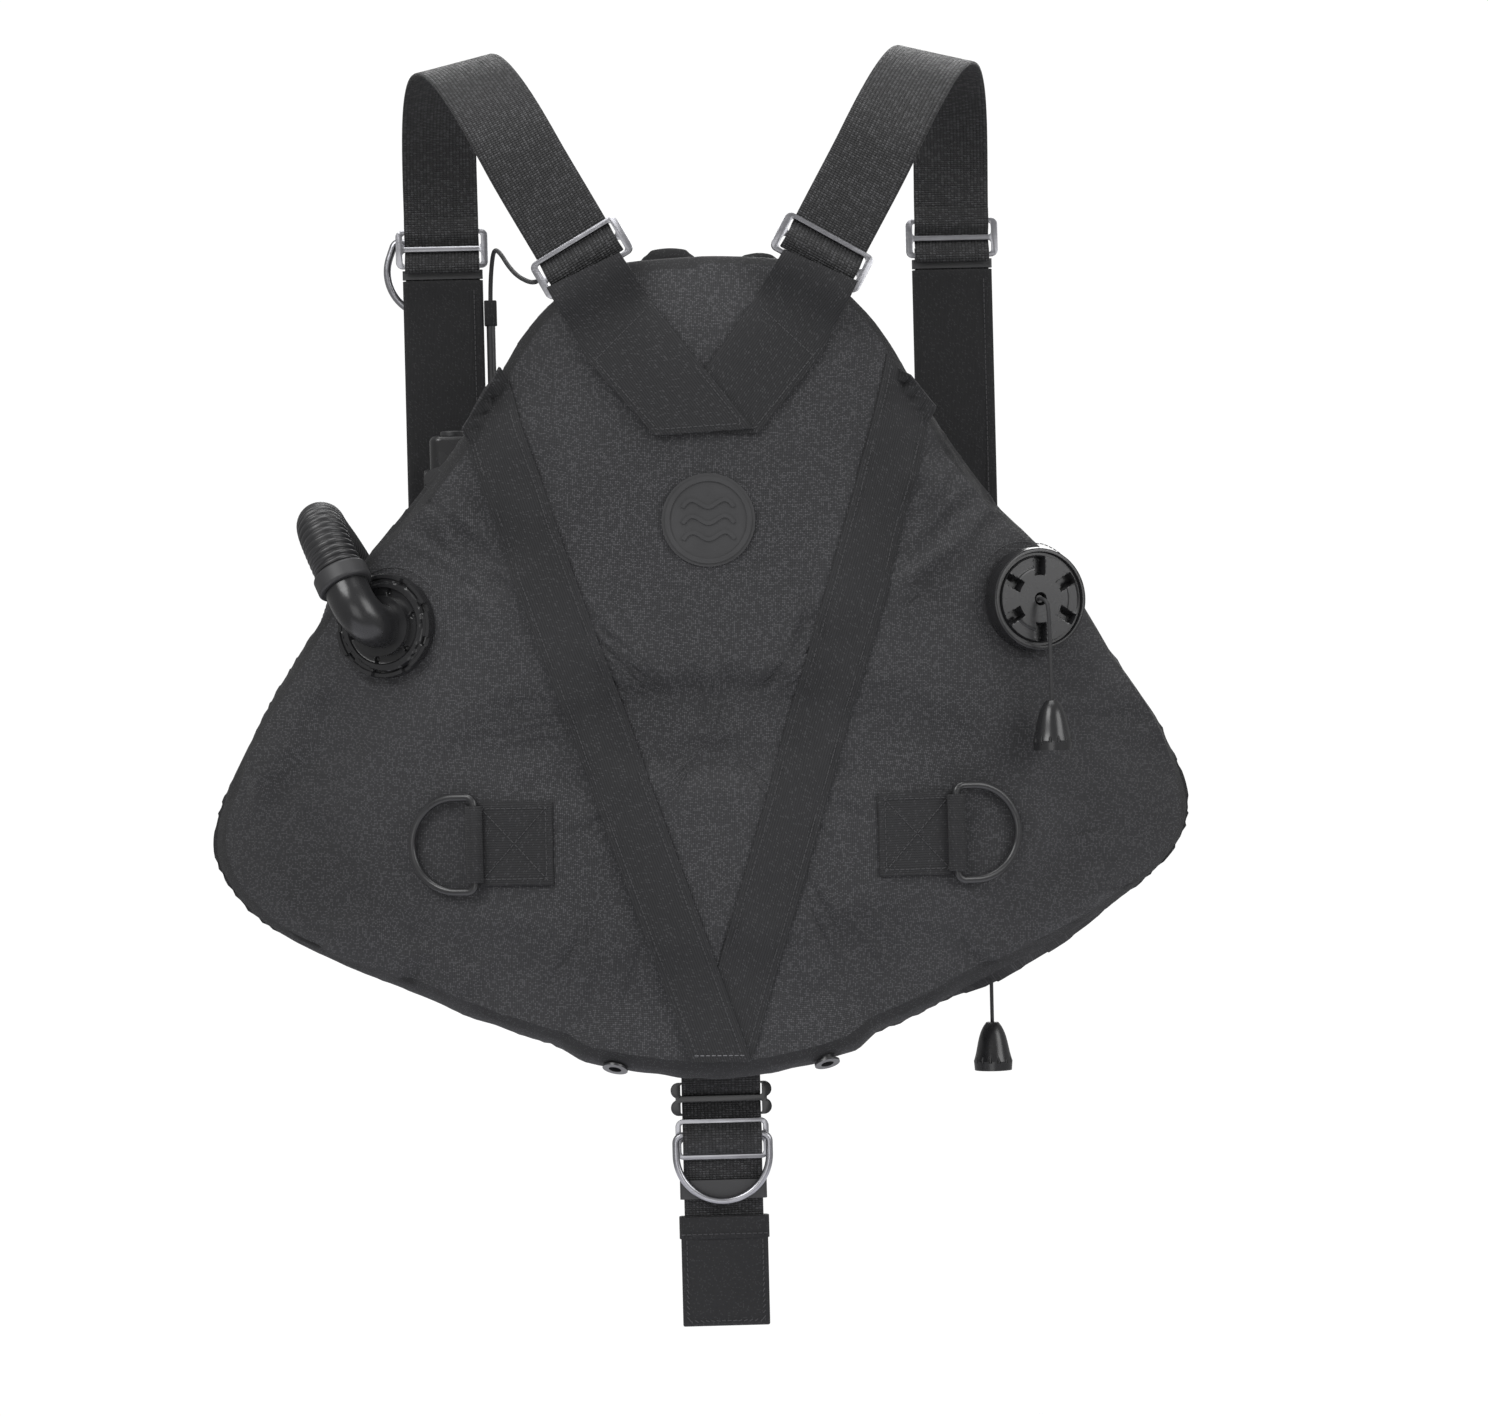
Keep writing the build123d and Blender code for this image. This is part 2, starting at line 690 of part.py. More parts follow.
def tube(label, points, diameter):
    radii = bend_radii(points)
    with BuildPart() as hose:
        with BuildLine() as run:
            FilletPolyline(*points, radius=radii)
        path = run.wires()[0]
        with BuildSketch(Plane(origin=path @ 0, z_dir=path % 0)) as section:
            Circle(diameter / 2)
        sweep(section.sketch, path=path)
    error = hose.part.volume / (math.pi * diameter**2 / 4 * path.length) - 1
    print(f"{label}: length {path.length:.0f}, radii {[round(r) for r in radii]}, volume error {error:.4f}")
    return hose


def pull_cord(seat, drop):
    # out of the guide hole, then down under the weight of the knob
    mouth = seat.origin + seat.z_dir * (cap_top - 1 + gap)
    out = mouth + seat.z_dir * 7
    hang = out + seat.z_dir * 5 + Vector(0, 0, -9)
    end = Vector(hang.X, hang.Y, mouth.Z - drop)
    return [tuple(mouth), tuple(out), tuple(hang), tuple(end)]


flute_count = 14
flute_r = 1.1
knob_profile = [(3.8, 0), (7.5, -6), (10, -15), (12.5, -25)]


def bell_knob(spot):
    # fluted bell on the end of a pull cord, hollow below
    x, y, top = spot
    with BuildPart() as knob:
        with BuildSketch(Plane(origin=(x, y, top), x_dir=(1, 0, 0), z_dir=(0, -1, 0))) as half:
            with BuildLine():
                Line((0, 0), knob_profile[0])
                Spline(*knob_profile)
                Polyline(knob_profile[-1], (12, -knob_len), (9.5, -knob_len), (8.5, -22), (0, -22), (0, 0))
            make_face()
        revolve(half.sketch, axis=Axis((x, y, 0), (0, 0, 1)))
        with BuildSketch(Plane.XY.offset(top - 26)) as flutes:
            with Locations((x, y)):
                with PolarLocations(12.6, flute_count):
                    Circle(flute_r)
        extrude(flutes.sketch, amount=24, mode=Mode.SUBTRACT)
    return knob


for label, seat, drop in (("dump", dump_seat, 64.0), ("lower", lower_seat, 68.0)):
    route = pull_cord(seat, drop)
    print(label, [tuple(round(v, 1) for v in point) for point in route])
    save(tube(f"{label}_cord", route, cord_d), f"{label}_cord")
    save(bell_knob(route[-1]), f"{label}_knob")

# ---------------------------------------------------------------- inflator, its elbow and its hose

elbow_d = 28.0
elbow_rise = 34.0
elbow_run = 28.0
elbow_bend = 17.0
collar_r = 19.0
cuff_d = 35.0
cuff_len = 12.0
touch = 0.2
elbow_way = Vector(-0.38, 0.36, 0.85).normalized()  # up the flank and over it
elbow_foot = inflator_seat.origin + inflator_seat.z_dir * (flange_t + gap + touch)
elbow_turn = inflator_seat.origin + inflator_seat.z_dir * elbow_rise
elbow_end = elbow_turn + elbow_way * elbow_run
cuff_end = elbow_end + elbow_way * cuff_len

with BuildPart() as elbow:
    with BuildLine() as elbow_line:
        FilletPolyline(tuple(elbow_foot), tuple(elbow_turn), tuple(elbow_end), radius=elbow_bend)
    with BuildSketch(Plane(origin=elbow_foot, z_dir=inflator_seat.z_dir)):
        Circle(elbow_d / 2)
    sweep(path=elbow_line.wires()[0])
    with BuildSketch(Plane(origin=elbow_foot, z_dir=inflator_seat.z_dir)):
        Circle(collar_r)
    extrude(amount=6)
save(elbow, "elbow")

with BuildPart() as hose_cuff:
    with BuildSketch(Plane(origin=elbow_end + elbow_way * touch, z_dir=elbow_way)):
        Circle(cuff_d / 2)
    extrude(amount=cuff_len - touch)
    fillet(hose_cuff.edges().filter_by(GeomType.CIRCLE), 2)
save(hose_cuff, "hose_cuff")

hose_route = [
    tuple(cuff_end + elbow_way * touch),
    tuple(cuff_end + elbow_way * 25),
    (-244.5, -72, -294),
    (-244, -45, -298),
    (-237, -14, -310),
    (-228, 18, -328),
    (-240, 42, -360),
    (-260, 54, -398),
    (-258, 58, -434),
    (-230, 59, -457),
    (-194, 60, -449),
    (-171, 61, -414),
    (-166, 62, -374),
    (-166, 62, -335),
]
print("hose", [tuple(round(v, 1) for v in point) for point in hose_route[:2]])
save(tube("corrugated_hose", hose_route, hose_d), "corrugated_hose")

body_x = -166.0
body_y = 62.0
body_low = -334.8
body_top = -232.0
socket_h = 22.0
button_r = 8.0
button_well = 7.0
press = 3.0
inflate_z = -262.0
nipple_r = 5.2  # male quick-release nipple for the low pressure hose
nipple_x = body_x + 27
nipple_z = body_low + 34

with BuildPart() as inflator_body:
    with BuildSketch(Plane.XY.offset(body_low)):
        with Locations((body_x, body_y)):
            Circle(15.5)
    extrude(amount=socket_h)
    with BuildSketch(Plane.XY.offset(body_low + socket_h)):
        with Locations((body_x, body_y)):
            RectangleRounded(30, 27, 8)
    extrude(amount=body_top - body_low - socket_h)
    fillet(inflator_body.faces().sort_by(Axis.Z)[-1].edges(), 4)
    with BuildSketch(Plane.XY.offset(nipple_z)):
        with Locations((body_x + 17, body_y)):
            RectangleRounded(32, 15, 5)
    extrude(amount=16)
    with BuildSketch(Plane.XY.offset(nipple_z)):
        with Locations((nipple_x, body_y)):
            Circle(nipple_r)
    extrude(amount=-22)
    with BuildSketch(Plane.XY.offset(body_top - button_well)):
        with Locations((body_x, body_y)):
            Circle(button_r + gap)
    extrude(amount=button_well, mode=Mode.SUBTRACT)
    with BuildSketch(Plane.YZ.offset(body_x - 8)):
        with Locations((body_y, inflate_z)):
            Circle(button_r + gap)
    extrude(amount=-10, mode=Mode.SUBTRACT)
save(inflator_body, "inflator_body")

with BuildPart() as deflate_button:
    with BuildSketch(Plane.XY.offset(body_top - button_well + press + touch)):
        with Locations((body_x, body_y)):
            Circle(button_r)
    extrude(amount=button_well)
    fillet(deflate_button.faces().sort_by(Axis.Z)[-1].edges(), 1)
save(deflate_button, "deflate_button")

with BuildPart() as inflate_button:
    with BuildSketch(Plane.YZ.offset(body_x - 8 - press - touch)):
        with Locations((body_y, inflate_z)):
            Circle(button_r)
    extrude(amount=-8)
    fillet(inflate_button.faces().sort_by(Axis.X)[0].edges(), 1)
save(inflate_button, "inflate_button")

with BuildPart() as mouthpiece:
    with BuildSketch(Plane.XZ.offset(-body_y + 13.5 + touch)):
        with Locations((body_x, inflate_z)):
            Circle(9)
            Circle(6.5, mode=Mode.SUBTRACT)
    extrude(amount=14)
    with BuildSketch(Plane.XZ.offset(-body_y + 27.5 + touch)):
        with Locations((body_x, inflate_z)):
            Ellipse(18, 9)
            Ellipse(12, 5, mode=Mode.SUBTRACT)
    extrude(amount=5)
save(mouthpiece, "mouthpiece")

# ---------------------------------------------------------------- chest ring and shock cord

chest_bar = Vector(-strap_x - 4, chest_y + web_t / 2 + roll_r + 1, chest_z - 2)
chest_hang = Vector(-0.34, 0, -0.94).normalized()
chest_hinge = Plane(origin=chest_bar, x_dir=chest_hang, z_dir=(0, 1, 0))
save(d_ring(chest_hinge, ring_r), "chest_d_ring")

with BuildPart() as chest_ring_loop:
    with BuildSketch(Plane(origin=chest_bar, x_dir=(0, 1, 0), z_dir=chest_hinge.y_dir)):
        Circle(roll_r)
        Circle(ring_r + bar_play, mode=Mode.SUBTRACT)
    extrude(amount=22, both=True)
save(chest_ring_loop, "chest_ring_loop")

tube_x = -140.4
tube_top = -146.0
tube_low = -296.0
tube_d = 6.0
with BuildPart() as bungee_tube:
    with BuildSketch(Plane.XY.offset(tube_low)):
        with Locations((tube_x, chest_y)):
            Circle(tube_d / 2)
    extrude(amount=tube_top - tube_low)
save(bungee_tube, "bungee_tube")

with BuildPart() as tube_keeper:
    with BuildSketch(Plane.XY.offset(tube_top - 9)):
        with Locations((tube_x, chest_y)):
            RectangleRounded(tube_d + 2.4, tube_d + 2, 1.5)
            Circle(tube_d / 2 + 0.1, mode=Mode.SUBTRACT)
    extrude(amount=17)
save(tube_keeper, "tube_keeper")

bungee_route = [
    (tube_x, chest_y, tube_top + touch),
    (-140.2, 108.6, -130.0),
    (-138.6, 101.0, -114.0),
    (-136.0, 82.0, -106.0),
    (-131.0, 52.0, -112.0),
    (-125.0, 20.0, -124.0),
    (-118.5, -14.0, -134.0),
    (-112.0, -48.0, -141.0),
    (-106.5, -82.0, -146.0),
    (-103.5, -112.0, -148.5),
]
save(tube("bungee_cord", bungee_route, bungee_d), "bungee_cord")
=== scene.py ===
import functools
import json
import math
import bpy
import bmesh
import numpy as np
from mathutils import Matrix, Vector, noise
from mathutils.bvhtree import BVHTree

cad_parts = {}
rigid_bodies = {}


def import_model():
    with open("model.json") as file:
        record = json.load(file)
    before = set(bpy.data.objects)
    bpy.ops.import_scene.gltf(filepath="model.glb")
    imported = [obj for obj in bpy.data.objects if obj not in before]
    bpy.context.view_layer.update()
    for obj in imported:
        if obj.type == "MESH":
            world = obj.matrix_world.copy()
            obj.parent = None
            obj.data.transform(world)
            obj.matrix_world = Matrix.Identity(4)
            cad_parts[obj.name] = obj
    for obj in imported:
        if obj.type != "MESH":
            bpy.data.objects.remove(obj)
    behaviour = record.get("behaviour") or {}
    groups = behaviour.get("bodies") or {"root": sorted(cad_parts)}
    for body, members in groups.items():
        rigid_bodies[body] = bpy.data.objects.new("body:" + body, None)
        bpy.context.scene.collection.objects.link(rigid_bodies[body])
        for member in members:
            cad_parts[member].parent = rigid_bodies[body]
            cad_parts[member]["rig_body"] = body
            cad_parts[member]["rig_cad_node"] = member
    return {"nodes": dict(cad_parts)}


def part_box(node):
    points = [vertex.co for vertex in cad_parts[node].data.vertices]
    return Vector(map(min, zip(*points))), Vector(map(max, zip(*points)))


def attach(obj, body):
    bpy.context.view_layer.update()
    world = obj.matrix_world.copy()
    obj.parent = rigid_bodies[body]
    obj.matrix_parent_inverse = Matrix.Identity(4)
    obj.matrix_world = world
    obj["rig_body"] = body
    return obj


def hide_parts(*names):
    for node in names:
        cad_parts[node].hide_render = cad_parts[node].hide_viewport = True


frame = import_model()

# everything below is in metres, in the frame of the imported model
mm = 0.001
scene = bpy.context.scene
nodes = frame["nodes"]
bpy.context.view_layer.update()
webbingWidth = 50 * mm
webbingThick = 2.2 * mm
sides = {"left": -1, "right": 1}

# ---- camera, light and floor

studio = {
    "cameraSpot": (-0.0352, -2.7248, -0.417),
    "lens": 101.45,
    "swing": -1.2,  # degrees about the vertical
    "roll": -1.4,
    "floorZ": -1.0,
    "floorSize": 0.7,
    "backdrop": 1.3,
    "fillLight": 0.5,
}


def setStudio(s):
    cameraData = bpy.data.cameras.new("studioCamera")
    cameraData.lens = s["lens"]
    cameraData.sensor_width = 36
    camera = bpy.data.objects.new("studioCamera", cameraData)
    turn = Matrix.Rotation(math.radians(s["swing"]), 4, "Z") @ Matrix.Rotation(math.radians(90), 4, "X")
    turn = turn @ Matrix.Rotation(math.radians(s["roll"]), 4, "Z")
    camera.matrix_world = Matrix.Translation(s["cameraSpot"]) @ turn
    scene.collection.objects.link(camera)
    scene.camera = camera
    scene.view_settings.view_transform = "Standard"
    # name, place, size, power; each lamp looks at the middle of the vest
    lamps = [
        ("keyLamp", (-1.5, -2.0, 1.5), 1.6, 52),
        ("sideLamp", (2.1, -1.7, 0.5), 1.5, 30),
        ("topLamp", (0.0, -0.2, 1.9), 1.6, 30),
        ("frontLamp", (0.3, 2.2, 0.7), 1.8, 34),
        ("lowLamp", (-0.4, -2.6, -0.9), 1.4, 10),
    ]
    for name, spot, size, power in lamps:
        lampData = bpy.data.lights.new(name, "AREA")
        lampData.size = size
        lampData.energy = power
        lamp = bpy.data.objects.new(name, lampData)
        lamp.location = spot
        lamp.rotation_euler = (Vector((0, 0, -0.4)) - Vector(spot)).to_track_quat("-Z", "Y").to_euler()
        scene.collection.objects.link(lamp)
    world = bpy.data.worlds.new("studioWorld")
    scene.world = world
    world.use_nodes = True
    tree = world.node_tree
    tree.nodes.clear()
    path = tree.nodes.new("ShaderNodeLightPath")
    blend = tree.nodes.new("ShaderNodeMix")
    blend.data_type = "FLOAT"
    blend.inputs["A"].default_value = s["fillLight"]
    blend.inputs["B"].default_value = s["backdrop"]
    back = tree.nodes.new("ShaderNodeBackground")
    out = tree.nodes.new("ShaderNodeOutputWorld")
    tree.links.new(path.outputs["Is Camera Ray"], blend.inputs["Factor"])
    tree.links.new(blend.outputs["Result"], back.inputs["Strength"])
    tree.links.new(back.outputs[0], out.inputs[0])
    bm = bmesh.new()
    bmesh.ops.create_grid(bm, x_segments=2, y_segments=2, size=s["floorSize"])
    bmesh.ops.translate(bm, vec=(0, 0, s["floorZ"]), verts=bm.verts)
    floor = bpy.data.objects.new("floor", bpy.data.meshes.new("floor"))
    bm.to_mesh(floor.data)
    bm.free()
    scene.collection.objects.link(floor)
    return floor


floor = setStudio(studio)
print("studio set")

# ---- shader node groups


class Sheet:
    # a small helper for laying out a node tree
    def __init__(self, tree):
        self.tree = tree

    def add(self, kind, **settings):
        node = self.tree.nodes.new(kind)
        for key, value in settings.items():
            setattr(node, key, value)
        return node

    def link(self, source, target):
        self.tree.links.new(source, target)

    def put(self, socket, value):
        if isinstance(value, bpy.types.NodeSocket):
            self.link(value, socket)
        else:
            socket.default_value = value

    def math(self, operation, a, b=None, clamp=False):
        node = self.add("ShaderNodeMath", operation=operation, use_clamp=clamp)
        self.put(node.inputs[0], a)
        if b is not None:
            self.put(node.inputs[1], b)
        return node.outputs[0]

    def mix(self, factor, a, b):
        node = self.add("ShaderNodeMix", data_type="FLOAT")
        self.put(node.inputs["Factor"], factor)
        self.put(node.inputs["A"], a)
        self.put(node.inputs["B"], b)
        return node.outputs["Result"]

    def noise(self, vector, scale, detail=2.0):
        node = self.add("ShaderNodeTexNoise")
        self.link(vector, node.inputs["Vector"])
        self.put(node.inputs["Scale"], scale)
        node.inputs["Detail"].default_value = detail
        return node.outputs["Fac"]


def newGroup(name, inputs, outputs):
    tree = bpy.data.node_groups.new(name, "ShaderNodeTree")
    for label, kind, value in inputs:
        socket = tree.interface.new_socket(label, in_out="INPUT", socket_type="NodeSocket" + kind)
        if value is not None:
            socket.default_value = value
    for label in outputs:
        tree.interface.new_socket(label, in_out="OUTPUT", socket_type="NodeSocketFloat")
    sheet = Sheet(tree)
    return sheet, sheet.add("NodeGroupInput").outputs, sheet.add("NodeGroupOutput").inputs


def buildWeaveGroup():
    # threads over and under each other; Height is the cloth's relief, Thread a value for each crossing
    sheet, given, out = newGroup(
        "clothWeave",
        [("Vector", "Vector", None), ("Across", "Float", mm), ("Along", "Float", mm),
         ("Slant", "Float", 0.0)],
        ["Height", "Thread"],
    )
    split = sheet.add("ShaderNodeSeparateXYZ")
    sheet.link(given["Vector"], split.inputs[0])
    slid = sheet.math("ADD", split.outputs[1], sheet.math("MULTIPLY", split.outputs[0], given["Slant"]))
    u = sheet.math("DIVIDE", split.outputs[0], given["Across"])
    v = sheet.math("DIVIDE", slid, given["Along"])
    waveU = sheet.math("SINE", sheet.math("MULTIPLY", u, math.pi))
    waveV = sheet.math("SINE", sheet.math("MULTIPLY", v, math.pi))
    over = sheet.math("GREATER_THAN", sheet.math("MULTIPLY", waveU, waveV), 0.0)
    archU = sheet.math("ABSOLUTE", waveU)
    archV = sheet.math("ABSOLUTE", waveV)
    warp = sheet.math("MULTIPLY", archU, sheet.mix(0.6, 1.0, archV))
    weft = sheet.math("MULTIPLY", archV, sheet.mix(0.6, 1.0, archU))
    sheet.link(sheet.mix(over, weft, warp), out["Height"])
    cell = sheet.add("ShaderNodeCombineXYZ")
    sheet.link(sheet.math("FLOOR", u), cell.inputs[0])
    sheet.link(sheet.math("FLOOR", v), cell.inputs[1])
    white = sheet.add("ShaderNodeTexWhiteNoise", noise_dimensions="2D")
    sheet.link(cell.outputs[0], white.inputs["Vector"])
    sheet.link(white.outputs["Value"], out["Thread"])
    return sheet.tree


def buildWearGroup():
    # soft clouds of handling and dust, and fine grain, both from the object's own coordinates
    sheet, given, out = newGroup(
        "handlingWear", [("Vector", "Vector", None), ("Size", "Float", 9.0)], ["Cloud", "Grain"]
    )
    sheet.link(sheet.noise(given["Vector"], given["Size"], 4.0), out["Cloud"])
    sheet.link(sheet.noise(given["Vector"], 900.0, 2.0), out["Grain"])
    return sheet.tree


weaveGroup = buildWeaveGroup()
wearGroup = buildWearGroup()


def newMaterial(name):
    material = bpy.data.materials.new(name)
    material.use_nodes = True
    tree = material.node_tree
    tree.nodes.clear()
    sheet = Sheet(tree)
    shader = sheet.add("ShaderNodeBsdfPrincipled")
    output = sheet.add("ShaderNodeOutputMaterial")
    sheet.link(shader.outputs[0], output.inputs[0])
    return material, sheet, shader


def greyRamp(sheet, value, dark, light):
    # a neutral, faintly cool grey between two tones
    node = sheet.add("ShaderNodeMix", data_type="RGBA")
    sheet.put(node.inputs["Factor"], value)
    node.inputs["A"].default_value = (dark, dark, dark * 1.06, 1)
    node.inputs["B"].default_value = (light, light, light * 1.06, 1)
    return node.outputs["Result"]


def clothMaterial(name, c):
    # woven cloth on a piece's own UV map, which is laid out in metres; the weave's relief is also painted
    # into its colour as painted shade and painted light
    material, sheet, shader = newMaterial(name)
    coords = sheet.add("ShaderNodeTexCoord")
    weave = sheet.add("ShaderNodeGroup", node_tree=weaveGroup)
    sheet.link(coords.outputs["UV"], weave.inputs["Vector"])
    for key in ("Across", "Along", "Slant"):
        weave.inputs[key].default_value = c.get(key, 0.0)
    wear = sheet.add("ShaderNodeGroup", node_tree=wearGroup)
    sheet.link(coords.outputs["Object"], wear.inputs["Vector"])
    # painted glints: a random share of the thread crossings is painted lighter, as highlights, and is also
    # made a little glossier
    glint = sheet.math("GREATER_THAN", weave.outputs["Thread"], 1 - c.get("glintShare", 0.1))
    # painted shade: the weave's height darkens the colour in the valleys between threads and lightens the
    # thread crests
    weaveShading = sheet.math("MULTIPLY", weave.outputs["Height"], sheet.mix(glint, c.get("threadTone", 0.45), 1.0))
    clouds = sheet.math("MULTIPLY", sheet.math("SUBTRACT", wear.outputs["Cloud"], 0.5), c.get("clouds", 0.35))
    tone = sheet.math("ADD", weaveShading, clouds, clamp=True)
    sheet.link(greyRamp(sheet, tone, c["dark"], c["light"]), shader.inputs["Base Color"])
    rough = sheet.math("SUBTRACT", c.get("rough", 0.8), sheet.math("MULTIPLY", glint, c.get("shine", 0.12)))
    sheet.link(rough, shader.inputs["Roughness"])
    shader.inputs["Specular IOR Level"].default_value = c.get("gloss", 0.25)
    shader.inputs["Sheen Weight"].default_value = c.get("sheen", 0.04)
    shader.inputs["Sheen Roughness"].default_value = 0.5
    grainy = sheet.math("ADD", weave.outputs["Height"], sheet.math("MULTIPLY", wear.outputs["Grain"], 0.25))
    bump = sheet.add("ShaderNodeBump")
    bump.inputs["Strength"].default_value = c.get("relief", 0.7)
    bump.inputs["Distance"].default_value = c.get("depth", 0.0004)
    sheet.link(grainy, bump.inputs["Height"])
    sheet.link(bump.outputs[0], shader.inputs["Normal"])
    return material


def mouldedMaterial(name, c):
    # moulded rubber and plastic: fine grain, faint scuffs
    material, sheet, shader = newMaterial(name)
    coords = sheet.add("ShaderNodeTexCoord")
    wear = sheet.add("ShaderNodeGroup", node_tree=wearGroup)
    wear.inputs["Size"].default_value = c.get("cloudSize", 60.0)
    sheet.link(coords.outputs["Object"], wear.inputs["Vector"])
    sheet.link(greyRamp(sheet, wear.outputs["Cloud"], c["dark"], c["light"]), shader.inputs["Base Color"])
    spread = 0.08
    scuff = sheet.mix(wear.outputs["Cloud"], c["rough"] - spread, c["rough"] + spread)
    sheet.link(scuff, shader.inputs["Roughness"])
    shader.inputs["Metallic"].default_value = c.get("metal", 0.0)
    shader.inputs["Specular IOR Level"].default_value = c.get("gloss", 0.5)
    bump = sheet.add("ShaderNodeBump")
    bump.inputs["Strength"].default_value = c.get("relief", 0.15)
    bump.inputs["Distance"].default_value = c.get("depth", 0.0002)
    sheet.link(wear.outputs["Grain"], bump.inputs["Height"])
    sheet.link(bump.outputs[0], shader.inputs["Normal"])
    return material


def steelMaterial(name, c):
    # satin steel brushed along X, with faint water marks
    material, sheet, shader = newMaterial(name)
    coords = sheet.add("ShaderNodeTexCoord")
    stretch = sheet.add("ShaderNodeMapping")
    stretch.inputs["Scale"].default_value = (60, 900, 900)
    sheet.link(coords.outputs["Object"], stretch.inputs["Vector"])
    brushed = sheet.noise(stretch.outputs[0], 1.0, 3.0)
    wear = sheet.add("ShaderNodeGroup", node_tree=wearGroup)
    wear.inputs["Size"].default_value = 120.0
    sheet.link(coords.outputs["Object"], wear.inputs["Vector"])
    mark = sheet.math("MULTIPLY", brushed, wear.outputs["Cloud"])
    sheet.link(greyRamp(sheet, mark, c["dark"], c["light"]), shader.inputs["Base Color"])
    sheet.link(sheet.mix(brushed, c["rough"] - 0.07, c["rough"] + 0.09), shader.inputs["Roughness"])
    shader.inputs["Metallic"].default_value = 1.0
    bump = sheet.add("ShaderNodeBump")
    bump.inputs["Strength"].default_value = 0.12
    bump.inputs["Distance"].default_value = 0.0001
    sheet.link(brushed, bump.inputs["Height"])
    sheet.link(bump.outputs[0], shader.inputs["Normal"])
    return material


# the share of thread crossings painted lighter as painted glints is set per cloth, 0.1 where none is given
clothSettings = {
    "panelCloth": {"Across": 1.15 * mm, "Along": 0.95 * mm, "dark": 0.018, "light": 0.088, "glintShare": 0.3},
    "gussetCloth": {"Across": 0.7 * mm, "Along": 0.7 * mm, "dark": 0.012, "light": 0.045, "glintShare": 0.15},
    "liningCloth": {"Across": 1.0 * mm, "Along": 1.0 * mm, "dark": 0.016, "light": 0.065},
    "strapTwill": {"Across": 1.5 * mm, "Along": 0.75 * mm, "dark": 0.014, "light": 0.06, "Slant": 0.5},
    "sleeveTwill": {"Across": 1.0 * mm, "Along": 0.8 * mm, "dark": 0.010, "light": 0.038, "Slant": 0.7},
    "webbingWeave": {"Across": 2.2 * mm, "Along": 1.5 * mm, "dark": 0.005, "light": 0.05, "glintShare": 0.35,
                     "gloss": 0.4, "rough": 0.62, "relief": 1.0, "depth": 0.0007},
    "padCloth": {"Across": 0.8 * mm, "Along": 0.8 * mm, "dark": 0.012, "light": 0.042},
    "plateCloth": {"Across": 1.2 * mm, "Along": 1.2 * mm, "dark": 0.016, "light": 0.06},
}
mouldedSettings = {
    "satinRubber": {"dark": 0.018, "light": 0.035, "rough": 0.5},
    "hoseRubber": {"dark": 0.014, "light": 0.026, "rough": 0.36},
    "softRubber": {"dark": 0.022, "light": 0.04, "rough": 0.55},
    "glossPlastic": {"dark": 0.012, "light": 0.02, "rough": 0.27, "relief": 0.08},
    "buttonPlastic": {"dark": 0.02, "light": 0.03, "rough": 0.42},
    "blackWire": {"dark": 0.016, "light": 0.03, "rough": 0.3, "relief": 0.05},
    "cordBraid": {"dark": 0.010, "light": 0.03, "rough": 0.7, "relief": 0.8, "depth": 0.0004},
    "zipMetal": {"dark": 0.03, "light": 0.06, "rough": 0.4, "metal": 1.0},
    "seamThread": {"dark": 0.028, "light": 0.06, "rough": 0.7},
    "paleThread": {"dark": 0.13, "light": 0.2, "rough": 0.7},
    "floorPaint": {"dark": 0.85, "light": 0.88, "rough": 0.8, "cloudSize": 1.0, "relief": 0.02},
}
materials = {name: clothMaterial(name, c) for name, c in clothSettings.items()}
materials.update({name: mouldedMaterial(name, c) for name, c in mouldedSettings.items()})
materials["satinSteel"] = steelMaterial("satinSteel", {"dark": 0.26, "light": 0.48, "rough": 0.3})
floor.data.materials.append(materials["floorPaint"])
print("materials built", len(materials))

# ---- mesh helpers


def newPiece(name, verts, faces, material, uvs=None, smooth=True):
    mesh = bpy.data.meshes.new(name)
    mesh.from_pydata([tuple(v) for v in verts], [], faces)
    if uvs is not None:
        layer = mesh.uv_layers.new(name="flatCloth")
        for loop in mesh.loops:
            layer.data[loop.index].uv = uvs[loop.vertex_index]
    mesh.materials.append(materials[material])
    mesh.polygons.foreach_set("use_smooth", [smooth] * len(mesh.polygons))
    mesh.update()
    piece = bpy.data.objects.new(name, mesh)
    scene.collection.objects.link(piece)
    return piece


def smoothed(mesh):
    mesh.polygons.foreach_set("use_smooth", [True] * len(mesh.polygons))
    return mesh


def evaluated(piece):
    # the mesh that a piece's modifiers or its curve make
    return bpy.data.meshes.new_from_object(piece.evaluated_get(bpy.context.evaluated_depsgraph_get()))


def baked(piece):
    # the same piece with its modifiers turned into plain mesh
    piece.data = evaluated(piece)
    piece.modifiers.clear()
    return piece


def ringFaces(count, steps, closed=False):
    # the walls between rings of the same number of points; closed joins the last ring to the first
    faces = []
    for i in range(count if closed else count - 1):
        here, there = i * steps, (i + 1) % count * steps
        for k in range(steps):
            n = (k + 1) % steps
            faces.append((here + k, here + n, there + n, there + k))
    if not closed:
        faces.append(tuple(range(steps)))
        faces.append(tuple(reversed(range((count - 1) * steps, count * steps))))
    return faces


def faceOutwards(piece):
    bm = bmesh.new()
    bm.from_mesh(piece.data)
    bmesh.ops.recalc_face_normals(bm, faces=bm.faces)
    bm.to_mesh(piece.data)
    bm.free()


def place(piece, body, slot, *replaced):
    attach(piece, body)
    if replaced:
        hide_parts(*replaced)
    return piece


def roundedCorners(points, rounds=3):
    # cuts every inner corner again and again, which leaves one smooth line
    for _ in range(rounds):
        cut = [points[0]]
        for a, b in zip(points, points[1:]):
            cut += [a * 0.75 + b * 0.25, a * 0.25 + b * 0.75]
        points = cut + [points[-1]]
    return points


